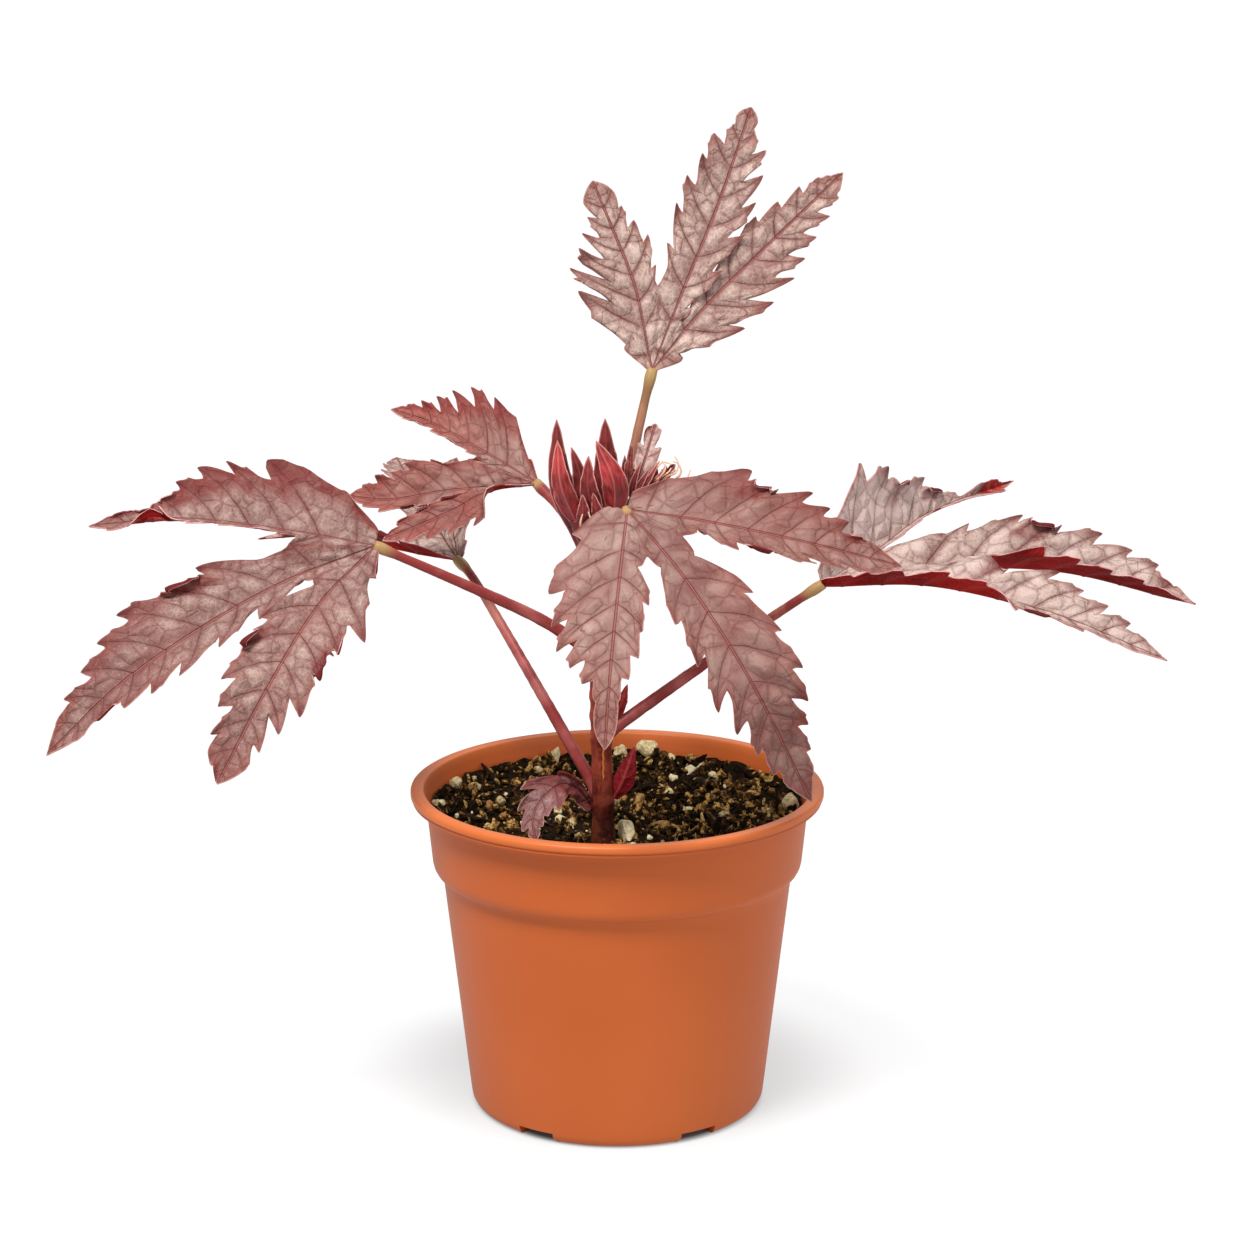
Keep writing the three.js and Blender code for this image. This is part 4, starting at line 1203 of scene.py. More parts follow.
def make_blade(name, leaf, thickness=BLADE_THICKNESS, rows=STATION_ROWS):
    junction = np.array(leaf["junction"], float)
    lobes = ready_lobes(leaf, junction)
    joins = shared_places(leaf, lobes)
    nets, faces, start = [], [], 0
    for index, lobe in enumerate(lobes):
        made = lobe_net(lobe, junction, joins[index:index + 2], rows)
        deep, wide = made[0].shape[:2]
        faces.append(grid_faces(deep, wide) + start)
        start += deep * wide
        nets.append([value.reshape(deep * wide, -1) for value in made])
    points, *carried = (np.vstack(values) for values in zip(*nets))
    points, faces, (net, mark, look, extra, lift) = weld(points, np.vstack(faces), *carried)
    points = points + point_normals(points, faces) * lift
    skins, faces, layers = thicken(points, faces, net, mark[:, 1], thickness)
    marks = {"net": net, "rim": mark, "looks": look, "extra_vein": extra[:, 0]}
    on_both_skins = {key: np.concatenate([value, value]) for key, value in marks.items()}
    mesh = make_mesh(name, skins, faces, on_both_skins)
    mesh.polygons.foreach_set("material_index", layers.astype(np.int32))
    return mesh


# %% [markdown]
# These are the leaves themselves, in millimetres, the same ones that the solids stand for. A leaf
# is told by the way its upper side faces, by the route of its stalk, and by its lobes from left
# to right. A lobe has the bends and tip of its midrib, how far each half folds up, its half widths
# from base to tip on the left and on the right, and its number of teeth. Where it has them, depth
# is how deep the teeth are cut on each half, blunt how round the tip ends, and smooth_tip where
# the teeth stop. A half with opens folds otherwise past the middle, tip_turn twists the tip, flare
# widens one place, stands raises it, and quilt weakens the swells. The rest is colour: blush is
# red, bloom is silver and fades along the lobe, hem_red and tip_red are its red rims and tip, and
# rolled is the share of teeth that are rolled over.

# %% The six lobed leaves
LEAVES = {
    "top": dict(
        face=(0.05, -0.95, 0.3), join=(3, 2),
        stalk=[(-5.8, -14, 155), (2, -9, 184), (8, 0, 209), (10, 2, 217)],
        lobes=[
            dict(midrib=[(5, 8, 240), (-1, 12, 255), (-7, 14, 269)], fold=(8, 8), blush=-0.1,
                 left=(1.5, 8.5, 17.5, 15.5, 5.6), right=(0, 5, 7, 9, 4.8), blunt=3.4,
                 smooth_tip=(0.76, 0.86), teeth=6, bloom=0.85, depth=(0.4, 0.24)),
            dict(midrib=[(18, 8, 237), (29, 16, 263), (38, 20, 289)], fold=(8, 8), blush=-0.1,
                 left=(0, 9, 12, 8.5, 3.6), right=(0, 7.5, 11, 8.5, 3.4), blunt=4,
                 shares=(0, 0.35, 0.62, 0.85, 0.91, 1), teeth=7, bloom=0.85,
                 depth=(0.32, 0.38), smooth_tip=(0.87, 0.92)),
            dict(midrib=[(24, 8, 233), (41, 14, 249), (64, 16, 271)], fold=(8, 8), blush=0.0,
                 left=(0, 4, 5.5, 9, 6), right=(1, 8, 13.5, 12.5, 6.5),
                 teeth=7, bloom=0.85, depth=(0.25, 0.42), blunt=1.9),
        ]),
    "left": dict(
        face=(0.18, -0.66, 0.73), join=(2.2, 2.4),
        stalk=[(-5.4, -15, 138), (-21, -18, 149), (-38, -21, 158), (-67, -25, 172)],
        lobes=[
            dict(midrib=[(-81, -42, 160), (-94, -62, 141), (-107, -72, 117)], fold=(8, 8),
                 left=(2, 11, 17, 15, 6.5), right=(0, 2.5, 10, 14.5, 8), blunt=2.6,
                 teeth=7, blush=0.3, bloom=0.3, depth=(0.36, 0.28), smooth_tip=(0.8, 0.88)),
            dict(midrib=[(-95, -38, 163), (-132, -52, 142), (-155, -58, 121)], fold=(24, 12),
                 left=(0, 3.5, 8.5, 12, 6), right=(0, 7, 14.5, 18, 8.5),
                 teeth=8, blush=0.15, bloom=0.3, hem_red=(0, 0.5), rolled=(0.2, 0.15),
                 depth=(0.3, 0.2)),
            dict(midrib=[(-87, -26, 176), (-120, -26, 180), (-147, -22, 177)], fold=(34, 34),
                 face=(0, -0.4, 0.92), left=(0, 5, 8, 7.5, 4), right=(6, 17, 21.5, 17, 2.5),
                 flare=(0.88, 2.4, 0.07), tip_turn=-15, stands=(-1, 0.76, 0.055, 80), teeth=7,
                 blush=0.15, bloom=0.28, hem_red=(0, 1), rolled=(0, 0.2), depth=(0.3, 0.2)),
        ]),
    "front": dict(
        face=(-0.1, -0.66, 0.74), join=(2, 2),
        stalk=[(-4.8, -15, 126), (-2, -25, 155), (1.5, -34, 177), (3, -38, 185)],
        lobes=[
            dict(midrib=[(25, -44, 183), (52, -48, 178), (78, -42, 170)], fold=(10, 10),
                 left=(6, 13, 18, 15.5, 6.5), right=(0, 4.5, 8, 9.5, 7.5), teeth=7,
                 blush=0.45, bloom=0.35, hem_red=(0.4, 0), rolled=(0.3, 0.1), depth=(0.22, 0.3),
                 smooth_tip=(0.72, 0.84)),
            dict(midrib=[(18, -58, 171), (35, -72, 147), (53, -62, 109)], fold=(8, 8),
                 face=(0.1, -0.93, 0.35), left=(0, 5, 12.6, 14.8, 6.6), right=(0, 3.6, 9.5, 13, 7),
                 teeth=8, blush=0.3, bloom=0.25, depth=(0.22, 0.3)),
            dict(midrib=[(0, -62, 163), (-2, -76, 144), (-3, -80, 129)], fold=(8, 8),
                 face=(-0.15, -0.75, 0.6), left=(0, 5.2, 8.8, 8.5, 3.0), blunt=4,
                 right=(9, 17, 19.5, 16, 3.6), teeth=7, blush=0.2, bloom=0.45, depth=(0.24, 0.26),
                 smooth_tip=(0.74, 0.82)),
        ]),
    "upper_left": dict(
        face=(0, -0.68, 0.74), join=(3, 3),
        stalk=[(-6.5, -13.4, 162), (-14.5, -2, 175.5), (-23, 8, 183)],
        lobes=[
            dict(midrib=[(-35, 6, 182), (-47, 4, 176), (-67, 0, 168)], fold=(66, 12), opens=(10, 12),
                 open_at=(0.28, 0.42), left=(2, 5, 9.5, 8, 4.5), right=(0, 3, 5, 6.5, 5), teeth=5,
                 blush=0.9, bloom=0.1, fades=0.5, rolled=(0.1, 0.9), depth=(0.35, 0.3)),
            dict(midrib=[(-50, 12, 180), (-66, 14, 177), (-78, 14, 178)], fold=(20, 20),
                 left=(0, 3, 5.5, 7, 5), right=(0, 4, 9.5, 11.5, 7.5), teeth=6, blush=0.8,
                 bloom=0.2, fades=0.7, hem_red=(0, 0.4), depth=(0.3, 0.2)),
            dict(midrib=[(-40, 17, 191.5), (-53, 23, 197.5), (-66, 28, 201)], fold=(30, 12),
                 left=(0, 3, 5, 5, 3.5), right=(1, 7, 15, 17.5, 5.5), teeth=6,
                 blush=0.8, bloom=0.3, fades=0.8, hem_red=(0, 1), rolled=(0.1, 0), depth=(0.3, 0.3)),
        ]),
    "right": dict(
        face=(-0.1, -0.15, 0.98), join=(3, 5),
        stalk=[(-4.5, -15, 114), (21, -12, 132), (44, -10, 148), (58, -12, 158)],
        lobes=[
            # The fan lobe's high bloom is partly painted light: it is its silver, and it also lightens a
            # lobe that faces away from the lamps.
            dict(midrib=[(76, 15, 162.5), (91, 34, 168.5), (120, 62, 173)], fold=(76, 30),
                 shares=(0, 0.14, 0.38, 0.54, 0.76, 1), flare=(0.88, 3.6, 0.07),
                 left=(6, 16, 27.5, 16.5, 1.8), right=(0, 3, 4, 3, 2.2), tip_turn=35, teeth=8,
                 blush=0.3, bloom=2.2, tip_red=2.2, quilt=0.2, smooth_tip=(0.97, 1), depth=(0.14, 0.3)),
            dict(midrib=[(89, 0, 160), (128, 6, 158), (167, 6, 148)], fold=(44, 58),
                 left=(0, 6, 15, 19, 12), right=(0, 5, 9, 9, 6), teeth=8, rolled=(0.1, 0.1),
                 blush=-0.3, bloom=1.3, depth=(0.22, 0.25)),
            dict(midrib=[(88, -20, 160), (120, -28, 154), (153, -32, 141)], fold=(40, 60),
                 opens=(40, 0), open_at=(0.48, 0.6), left=(0, 5, 12, 14.5, 8),
                 right=(4, 8, 8, 6, 4), teeth=8, blush=-0.3, bloom=1.2, depth=(0.26, 0.25)),
        ]),
    "back": dict(
        face=(0, 0, 1), join=(3, 3),
        stalk=[(-4.2, -15, 95), (-21, -6, 123), (-43, 22, 153), (-47, 28, 156)],
        lobes=[
            dict(midrib=[(-62, 33, 158), (-86, 42, 161), (-108, 48, 158)], fold=(60, 14),
                 opens=(14, 14), left=(1, 4, 6.5, 9, 6), right=(0, 5, 9, 9, 5), teeth=7, blush=-0.3),
            dict(midrib=[(-56, 54, 163), (-64, 80, 169), (-70, 104, 172)], fold=(14, 14),
                 left=(0, 5, 11, 13, 7), right=(0, 5, 11, 13, 7), teeth=8, blush=-0.2),
            dict(midrib=[(-50, 50, 164), (-51, 70, 170), (-50, 88, 175)], fold=(14, 50),
                 left=(0, 5, 9, 10, 6), right=(3, 7, 9, 8, 4), teeth=7, blush=-0.2),
        ]),
}
print("leaves:", len(LEAVES), "lobes:", sum(len(leaf["lobes"]) for leaf in LEAVES.values()))

# %% [markdown]
# The upper side is a mauve brown with a bloom that turns silvery in the middle of each cell
# between the veins. Veins are dark red and fine, and reddest towards the rim. The same distances
# that shaped the blade draw them here: how far a spot is from the midrib, from the side vein, and
# from the arches that join the side veins near the rim. A cell pattern adds the finest net.

# %% Where the veins are
# Each line is full up to its first distance and gone at its second, in millimetres.
RIB_LINE = (0.18, 0.50)
RIB_HIGHLIGHT_LINE = (0.05, 0.20)
EXTRA_LINE = (0.08, 0.34)
SIDE_LINE = (0.06, 0.26)
ARCH_LINE = (0.03, 0.20)
ARCH_SPAN = 0.80
ARCH_DIP = 0.26
NET_CELLS = 170


def vein_masks(paint):
    """How much of a spot is midrib, side vein and arch, and where in the cell it lies."""
    station, span, reach = paint.parts("net")
    rim, step, blush = paint.parts("rim")
    bloom, dark_tip, red = paint.parts("looks")
    wander = paint.noise(150, 3, 0.6)
    strong = paint.noise(110, 2).ramp(0.36, 0.60)
    cross = paint.cells(NET_CELLS)
    gap = (station + (wander - 0.5) * 0.3).math("MODULO", 2)
    gap = (gap - 1).math("ABSOLUTE")
    from_rib = span * reach
    rib = from_rib.fade(*RIB_LINE).math("MAXIMUM", paint.mark("extra_vein").fade(*EXTRA_LINE) * 0.7)
    side = (gap * step).fade(*SIDE_LINE) * (1 - span.ramp(0.45, 1.0) * 0.7) * (strong * 0.6 + 0.4)
    arch_span = ARCH_SPAN - (1 - gap) ** 2 * ARCH_DIP + (wander - 0.5) * 0.16
    arch = ((span - arch_span).math("ABSOLUTE") * reach).fade(*ARCH_LINE) * gap.ramp(0.0, 0.25) * strong
    small = cross.fade(0.0, 0.055) * gap.ramp(0.05, 0.3) * span.ramp(0.06, 0.2)
    return {"rib": rib, "rib_highlight": from_rib.fade(*RIB_HIGHLIGHT_LINE), "side": side, "arch": arch,
            "small": small, "cross": cross, "gap": gap, "span": span, "rim": rim,
            "blush": blush, "bloom": bloom, "dark_tip": dark_tip, "red": red}


# %% [markdown]
# No two leaves of the plant have the same skin. Most are laced with a fine pale net. The front
# leaf is smoother and warmer, and the leaf at the upper left glows red with redder hems. Painting
# each by hand would be three materials to keep in step, so one function lays the same coats for
# all, and a leaf's set of tones and its share of lace make the difference. The coats go on in this
# order: ground, bloom, painted shade in the hollows by the side veins and round the cells,
# freckles, veins with a painted highlight down the midrib, red hems, a painted highlight along the
# edge, dark teeth.

# %% Tones of the upper side
MAUVE = (0.148, 0.063, 0.055)
SMOOTH_MAUVE = (0.170, 0.068, 0.057)
DEEP_MAUVE_AND_SHADE = (0.100, 0.033, 0.028)
SILVER = (0.380, 0.272, 0.228)
FROST = (0.500, 0.375, 0.355)
PALE_NET_AND_HIGHLIGHT = (0.500, 0.370, 0.320)
VEIN_RED = (0.140, 0.032, 0.026)
RIB_RED = (0.150, 0.026, 0.022)
RIB_HIGHLIGHT = (0.430, 0.190, 0.160)
RIM_RED = (0.215, 0.062, 0.050)
GLOW_RED = (0.235, 0.060, 0.047)
HEM_RED = (0.125, 0.015, 0.013)
HEM_GLOW = (0.150, 0.017, 0.014)
WINE_BRIGHT = (0.270, 0.008, 0.006)
TIP_BROWN = (0.088, 0.012, 0.010)

LACED = dict(skin=MAUVE, silver=SILVER, vein=VEIN_RED, rim=RIM_RED, deep=DEEP_MAUVE_AND_SHADE, hem=HEM_RED)
SMOOTH = {**LACED, "skin": SMOOTH_MAUVE}
GLOWING = {**SMOOTH, "rim": GLOW_RED, "hem": HEM_GLOW}
print("tones of an upper side:", ", ".join(LACED))


# %% Leaf finish: the upper side
def silver_bloom(at, lace):
    """Strongest in the middle of each cell, and broken up by two noises."""
    middle = at["gap"].ramp(0.0, 0.45) * at["span"].ramp(0.0, 0.14)
    middle = middle * (1 - at["span"].ramp(0.72, 1.0) * 0.7)
    cell, cushion = 0.35 + 0.30 * lace, 0.25 + 0.20 * lace
    bloom = (middle * cell + (1 - cell)) * (at["quilt"] * cushion + (1 - cushion))
    bloom = bloom * (at["blotch"].ramp(0.30, 0.60) * 0.22 + 0.78)
    bloom = bloom * (at["drift"].ramp(0.32, 0.60) * 0.35 + 0.65)
    return (bloom * at["bloom"] * (0.92 + 0.36 * lace)).clamp()


def lay_skin(paint, at, tones, lace):
    """The ground with its bloom, painted shade in its hollows, its fine net and its freckles."""
    bloom = silver_bloom(at, lace)
    freckles = 0.4 + 0.6 * lace
    colour = paint.mix(at["blush"], tones["skin"], tones["rim"])
    colour = paint.mix(at["drift"].ramp(0.46, 0.70) * 0.5, colour, tones["deep"])
    colour = paint.mix(bloom, colour, tones["silver"])
    colour = paint.mix(at["frost"] * bloom, colour, FROST)
    # Painted shade: darker in the hollows along the side veins and round the edges of the cells.
    colour = paint.mix(at["gap"].fade(0.0, 0.26) * 0.26 * at["span"].ramp(0.05, 0.3), colour, tones["deep"])
    colour = paint.mix(at["cross"].fade(0.0, 0.14) * 0.24, colour, tones["deep"])
    colour = paint.mix(at["fine"].fade(0.0, 0.12) * bloom * 0.65 * lace, colour, PALE_NET_AND_HIGHLIGHT)
    colour = paint.mix(at["speckle"].fade(0.28, 0.46) * 0.25 * freckles, colour, tones["deep"])
    colour = paint.mix(at["speckle"].ramp(0.56, 0.72) * 0.3 * freckles, colour, PALE_NET_AND_HIGHLIGHT)
    return paint.mix(at["rim"].fade(0.3, 3.0) * 0.4, colour, tones["rim"])


def lay_veins(paint, at, tones, colour):
    """The small veins, the midrib with a painted highlight down it, red hems, a painted highlight along the
    edge and dark teeth.
    """
    colour = paint.mix(at["veins"], colour, tones["vein"])
    colour = paint.mix(at["rib"] * 0.85, colour, RIB_RED)
    # Painted highlight: a thin pale line down the midrib.
    colour = paint.mix(at["rib_highlight"] * 0.25, colour, RIB_HIGHLIGHT)
    red = paint.mix(at["red"].ramp(1.1, 1.5), tones["hem"], WINE_BRIGHT)
    red_share = (at["red"] * 0.88).clamp() * (at["blotch"].ramp(0.35, 0.6) * 0.35 + 0.65)
    colour = paint.mix(red_share, colour, red)
    # Painted highlight: a thin pale line along the edge of the blade.
    colour = paint.mix(at["rim"].fade(0.04, 0.24) * 0.5, colour, PALE_NET_AND_HIGHLIGHT)
    return paint.mix((at["dark_tip"] * 0.85).clamp(), colour, TIP_BROWN)


def upper_finish(name, tones, veins=1.0, lace=1.0):
    paint = Paint(name, Specular_IOR_Level=0.16)
    at = vein_masks(paint)
    at["drift"] = paint.noise(38, 3, 0.55)
    at["blotch"] = paint.noise(240, 3, 0.6)
    at["speckle"] = paint.noise(1100, 3, 0.7)
    at["fine"] = paint.cells(640)
    at["quilt"] = at["cross"].ramp(0.0, 0.42)
    at["frost"] = at["bloom"].ramp(1.0, 1.6) * 0.7
    small = at["side"] * 0.70 + at["arch"] * 0.42 + at["small"] * 0.24
    at["veins"] = (small * (1 - at["frost"] * 0.4) * veins).clamp()
    colour = lay_veins(paint, at, tones, lay_skin(paint, at, tones, lace))
    relief = at["quilt"] * 0.55 - at["veins"] * 0.5 - at["rib"] * 0.3
    relief = relief + at["fine"].ramp(0.0, 0.5) * 0.05 + at["speckle"] * 0.05
    skin = paint.bump(relief, 0.85, 0.0011)
    return paint.finish(Base_Color=colour, Roughness=at["drift"] * 0.15 + 0.50, Normal=skin)


leaf_upper = upper_finish("leaf_upper_side", LACED)
leaf_upper_smooth = upper_finish("leaf_upper_side_smooth", SMOOTH, lace=0.2)
leaf_upper_red = upper_finish("leaf_upper_side_red", GLOWING, lace=0.2)
print("nodes of an upper side:", len(leaf_upper.node_tree.nodes))

# %% [markdown]
# The underside is a deep wine red with a soft shine. Its cords are a little paler where the skin
# is stretched over them. It is darker wherever the upper side is marked red, and on a rolled tooth
# that darkening is painted shade. The upper finish with other tones would give it a bloom that it
# doesn't have. The rim itself is thin enough to let light in, so it is a pale pink line.

# %% Leaf finish: the underside and the rim
WINE = (0.130, 0.003, 0.003)
CORD_RED = (0.230, 0.026, 0.020)
WINE_DARK_AND_ROLL_SHADE = (0.095, 0.010, 0.009)
RIM_PINK = (0.52, 0.26, 0.24)
RIM_DUSK = (0.34, 0.10, 0.095)


def under_finish(name, wine, bright, cord):
    paint = Paint(name, Specular_IOR_Level=0.08)
    at = vein_masks(paint)
    drift = paint.noise(55, 3)
    colour = paint.mix(drift.ramp(0.35, 0.7), wine, bright)
    colour = paint.mix((at["side"] * 0.5 + at["arch"] * 0.3).clamp(), colour, cord)
    colour = paint.mix(at["rib"] * 0.8, colour, cord)
    # Darker where the upper side is marked red; on a rolled tooth this is painted shade.
    colour = paint.mix(at["red"].ramp(0.1, 0.7), colour, WINE_DARK_AND_ROLL_SHADE)
    relief = 1 - paint.cells(480).ramp(0.0, 0.2) * 0.5 + at["side"]
    skin = paint.bump(relief, 0.4, 0.0004)
    return paint.finish(Base_Color=colour, Roughness=drift * 0.15 + 0.48, Normal=skin)


def rim_finish(name, pale, dusk):
    paint = Paint(name, Roughness=0.5)
    return paint.finish(Base_Color=paint.mix(paint.noise(220, 2).ramp(0.35, 0.65), pale, dusk))


leaf_under = under_finish("leaf_underside", WINE, WINE_BRIGHT, CORD_RED)
leaf_rim = rim_finish("leaf_rim", RIM_PINK, RIM_DUSK)
print("nodes of the underside:", len(leaf_under.node_tree.nodes))

# %% [markdown]
# Now the leaves can be grown. The teeth were counted on the lobes a little too sparsely, so each
# lobe gets about a quarter more of them. Each blade is one mesh with three materials: the upper
# side, the underside and the rim. The leaf in front and the one at the upper left get their own
# upper side.

# %% Grow the six leaves
FINER_TEETH = 1.28
EXTRA_VEIN = (7, 0.62)
OTHER_UPPER_FINISH = {"front": leaf_upper_smooth, "upper_left": leaf_upper_red}

for index, (name, leaf) in enumerate(LEAVES.items()):
    grown = {**leaf, "junction": leaf["stalk"][-1], "seed": 100 * (index + 1)}
    grown.update(finer=FINER_TEETH, extra_vein=EXTRA_VEIN)
    blade = make_blade("blade_" + name, grown)
    upper = OTHER_UPPER_FINISH.get(name, leaf_upper)
    add_piece("blade_" + name, blade, "leaf", [upper, leaf_under, leaf_rim], "leaf_" + name)
    print(name, "leaf faces:", len(blade.polygons))

# %% [markdown]
# A stalk is a thin, slightly ribbed rod, thicker where it leaves the stem and again just under
# the blade, where a small cushion lets the leaf turn. A curve with a round bevel would be smooth
# and dead, so each ring is drawn with its own radius: ribs along it, a slow unevenness, and the
# two swellings. Its foot runs a little into the stem, as one growth.

# %% Rods along a route
FIRST_SIDE = (0.3, 1.0, 0.1)
SKIN_WAVE = 5.0
SKIN_UNEVENNESS = 0.035


def ring_ways(ahead):
    """Two directions across the rod at each place, carried along it so that it never twists."""
    side = unit(np.cross(ahead[0], FIRST_SIDE))
    sides_way = []
    for way in ahead:
        side = unit(side - way * np.dot(side, way))
        sides_way.append(side)
    return np.array(sides_way), np.cross(ahead, sides_way)


def make_rod(name, places, radius_at, sides, ring_gap, seed, ribs=0.0, rib_count=5, run_on=(0.0, 0.0)):
    route = make_route(places)
    rings = max(int(route["length"] / ring_gap), 6)
    share = np.linspace(0, 1, rings + 1)
    line, ahead = follow(route, share), follow(route, share, "heading")
    line[0] -= ahead[0] * run_on[0]
    line[-1] += ahead[-1] * run_on[1]
    sides_way, other_way = ring_ways(ahead)
    angle = np.arange(sides) * 2 * math.pi / sides
    radius = np.array([radius_at(s) for s in share])[:, None]
    ribbed = 1 + ribs * np.cos(rib_count * angle)[None, :]
    out = sides_way[:, None] * np.cos(angle)[:, None] + other_way[:, None] * np.sin(angle)[:, None]
    points = line[:, None] + out * (radius * ribbed)[..., None]
    points = points + out * (waves(points, SKIN_WAVE, seed) * radius * SKIN_UNEVENNESS)[..., None]
    here = np.arange(sides)
    after = (here + 1) % sides
    faces = []
    for ring in range(rings):
        low, high = ring * sides, (ring + 1) * sides
        faces += [(low + i, low + j, high + j, high + i) for i, j in zip(here, after)]
    count = (rings + 1) * sides
    faces += [(j, i, count) for i, j in zip(here, after)]
    faces += [(count - sides + i, count - sides + j, count + 1) for i, j in zip(here, after)]
    points = np.vstack([points.reshape(-1, 3), line[:1], line[-1:]])
    along = np.concatenate([np.repeat(share, sides), [0, 1]])
    return make_mesh(name, points, faces, {"along": along})


# %% Radii of a stalk
STALK_FOOT = 1.85
STALK_TIP = 1.2
# Each swelling: how much thicker, how far from its end of the stalk, and how long.
FOOT_SWELL = (0.75, 0.0, 3.5)
CUSHION = (0.45, 2.0, 3.0)


def swelling(distance, shape):
    size, place, spread = shape
    return size * math.exp(-((distance - place) / spread) ** 2)


def stalk_radius(share, length):
    swells = swelling(share * length, FOOT_SWELL) + swelling((1 - share) * length, CUSHION)
    return STALK_FOOT + (STALK_TIP - STALK_FOOT) * share + swells


# %% [markdown]
# Stalks are dusty red with pink patches, and yellow-green at the cushion where the blade begins.
# The stalk of the top leaf is more of an ochre. A colour ramp along the stalk alone would look
# sprayed, so a slow noise gives the red its streaks, and fine flecks give the skin its grain. The
# place along the stalk is carried by the mesh.

# %% Stalk finish
STALK_RED = (0.19, 0.024, 0.022)
STALK_PINK = (0.34, 0.095, 0.085)
STALK_GREEN = (0.32, 0.205, 0.080)
STALK_OCHRE = (0.185, 0.088, 0.040)
OCHRE_PINK = (0.27, 0.080, 0.060)
FLECKS_BRIGHTER = 1.5


def stalk_finish(name, red, pink, green):
    paint = Paint(name, Specular_IOR_Level=0.16)
    along = paint.mark("along")
    streak = paint.noise(60, 3, 0.6)
    fleck = paint.noise(700, 3, 0.7)
    patch = paint.noise(150, 3, 0.6)
    colour = paint.mix(streak.ramp(0.42, 0.7), red, pink)
    colour = paint.mix((patch.ramp(0.6, 0.75) * 0.35).clamp(), colour, pink)
    joint = along.ramp(0.90, 0.985) + along.ramp(0.55, 1.0) * streak.ramp(0.45, 0.6) * 0.45
    colour = paint.mix(joint.clamp() * 0.85, colour, green)
    bright = tuple(min(FLECKS_BRIGHTER * c, 1) for c in pink)
    colour = paint.mix((fleck.ramp(0.62, 0.8) * 0.4).clamp(), colour, bright)
    skin = paint.bump(fleck * 0.5 + streak, 0.3, 0.0003)
    return paint.finish(Base_Color=colour, Roughness=patch * 0.2 + 0.34, Normal=skin)


stalk_skin = stalk_finish("stalk_skin", STALK_RED, STALK_PINK, STALK_GREEN)
ochre_skin = stalk_finish("ochre_stalk_skin", STALK_OCHRE, OCHRE_PINK, STALK_GREEN)
for index, (name, leaf) in enumerate(LEAVES.items()):
    length = make_route(leaf["stalk"])["length"]
    rod = make_rod("stalk_rod_" + name, leaf["stalk"], lambda s: stalk_radius(s, length), sides=28,
                   ring_gap=0.9, seed=40 + index, ribs=0.035, run_on=(0.5, 0.4))
    skin = ochre_skin if name == "top" else stalk_skin
    add_piece("stalk_rod_" + name, rod, "stalk", [skin], "stalk_" + name)
    print(name, "stalk length in mm:", round(length, 1))

# %% [markdown]
# The main stem is young wood: smooth, red brown, darker and corky at the soil, with a split in
# the skin low on its front and a swollen ring wherever a stalk leaves it. The rings and the
# split are shape, so they catch light from any side, and the skin's grain is left to the finish.

# %% Main stem
STEM = [(-4, -15, 82.8), (-4.2, -15, 98), (-4.8, -15, 125), (-5.6, -14.5, 145), (-7, -13, 172)]
STEM_LOW, STEM_HIGH = STEM[0][2], STEM[-1][2]
STEM_RADII = (3.15, 2.3)
NODE_HEIGHTS = (95, 114, 120, 126, 138, 155, 162)
NODE_RING = (0.42, 0.0, 1.9)
STEM_FLARE = (0.55, 0.0, 4)


def stem_radius(share):
    z = STEM_LOW + share * (STEM_HIGH - STEM_LOW)
    rings = sum(swelling(z - node, NODE_RING) for node in NODE_HEIGHTS)
    taper = (STEM_RADII[1] - STEM_RADII[0]) * share
    return STEM_RADII[0] + taper + rings + swelling(z - STEM_LOW, STEM_FLARE)


stem_mesh = make_rod("stem_rod", STEM, stem_radius, sides=96, ring_gap=0.5, seed=60, run_on=(1.5, 0.6))
print("stem faces:", len(stem_mesh.polygons))

# %% The split in its skin
SPLIT_FROM, SPLIT_TO = 103.5, 112.5
SPLIT_X = -4.0
SPLIT_FRONT_Y = -15.5
SPLIT_HALF_WIDTH = 0.28
SPLIT_DEPTH = 0.5


def cut_split(mesh):
    """Pushes the skin in along a wandering line, and marks how deep, for the finish."""
    places = np.empty(len(mesh.vertices) * 3, np.float32)
    mesh.vertices.foreach_get("co", places)
    places = places.reshape(-1, 3)
    x, y, z = places.T / MM
    wander = 0.10 * np.sin(z * 2.3) + 0.05 * np.sin(z * 5.1)
    depth = np.exp(-((x - SPLIT_X + wander) / SPLIT_HALF_WIDTH) ** 2) * (y < SPLIT_FRONT_Y)
    depth *= smooth_step(z, SPLIT_FROM - 2, SPLIT_FROM) * (1 - smooth_step(z, SPLIT_TO - 1, SPLIT_TO + 1))
    places[:, 1] += depth * SPLIT_DEPTH * MM
    mesh.vertices.foreach_set("co", places.ravel())
    split = mesh.attributes.new("split", "FLOAT", "POINT")
    split.data.foreach_set("value", depth.astype(np.float32))
    return depth


print("points in the split:", int((cut_split(stem_mesh) > 0.5).sum()))

# %% Stem finish
BARK_RED = (0.105, 0.012, 0.008)
BARK_WARM = (0.22, 0.036, 0.020)
BARK_LINE = (0.33, 0.10, 0.045)
CORK_DARK = (0.016, 0.004, 0.003)
CORK_BROWN = (0.075, 0.018, 0.008)
BARK_FLECK = (0.4, 0.16, 0.08)
SPLIT_WOOD = (0.50, 0.17, 0.035)
LENGTHWISE = (1, 1, 0.18)
CORKY_TO = (0.04, 0.26)

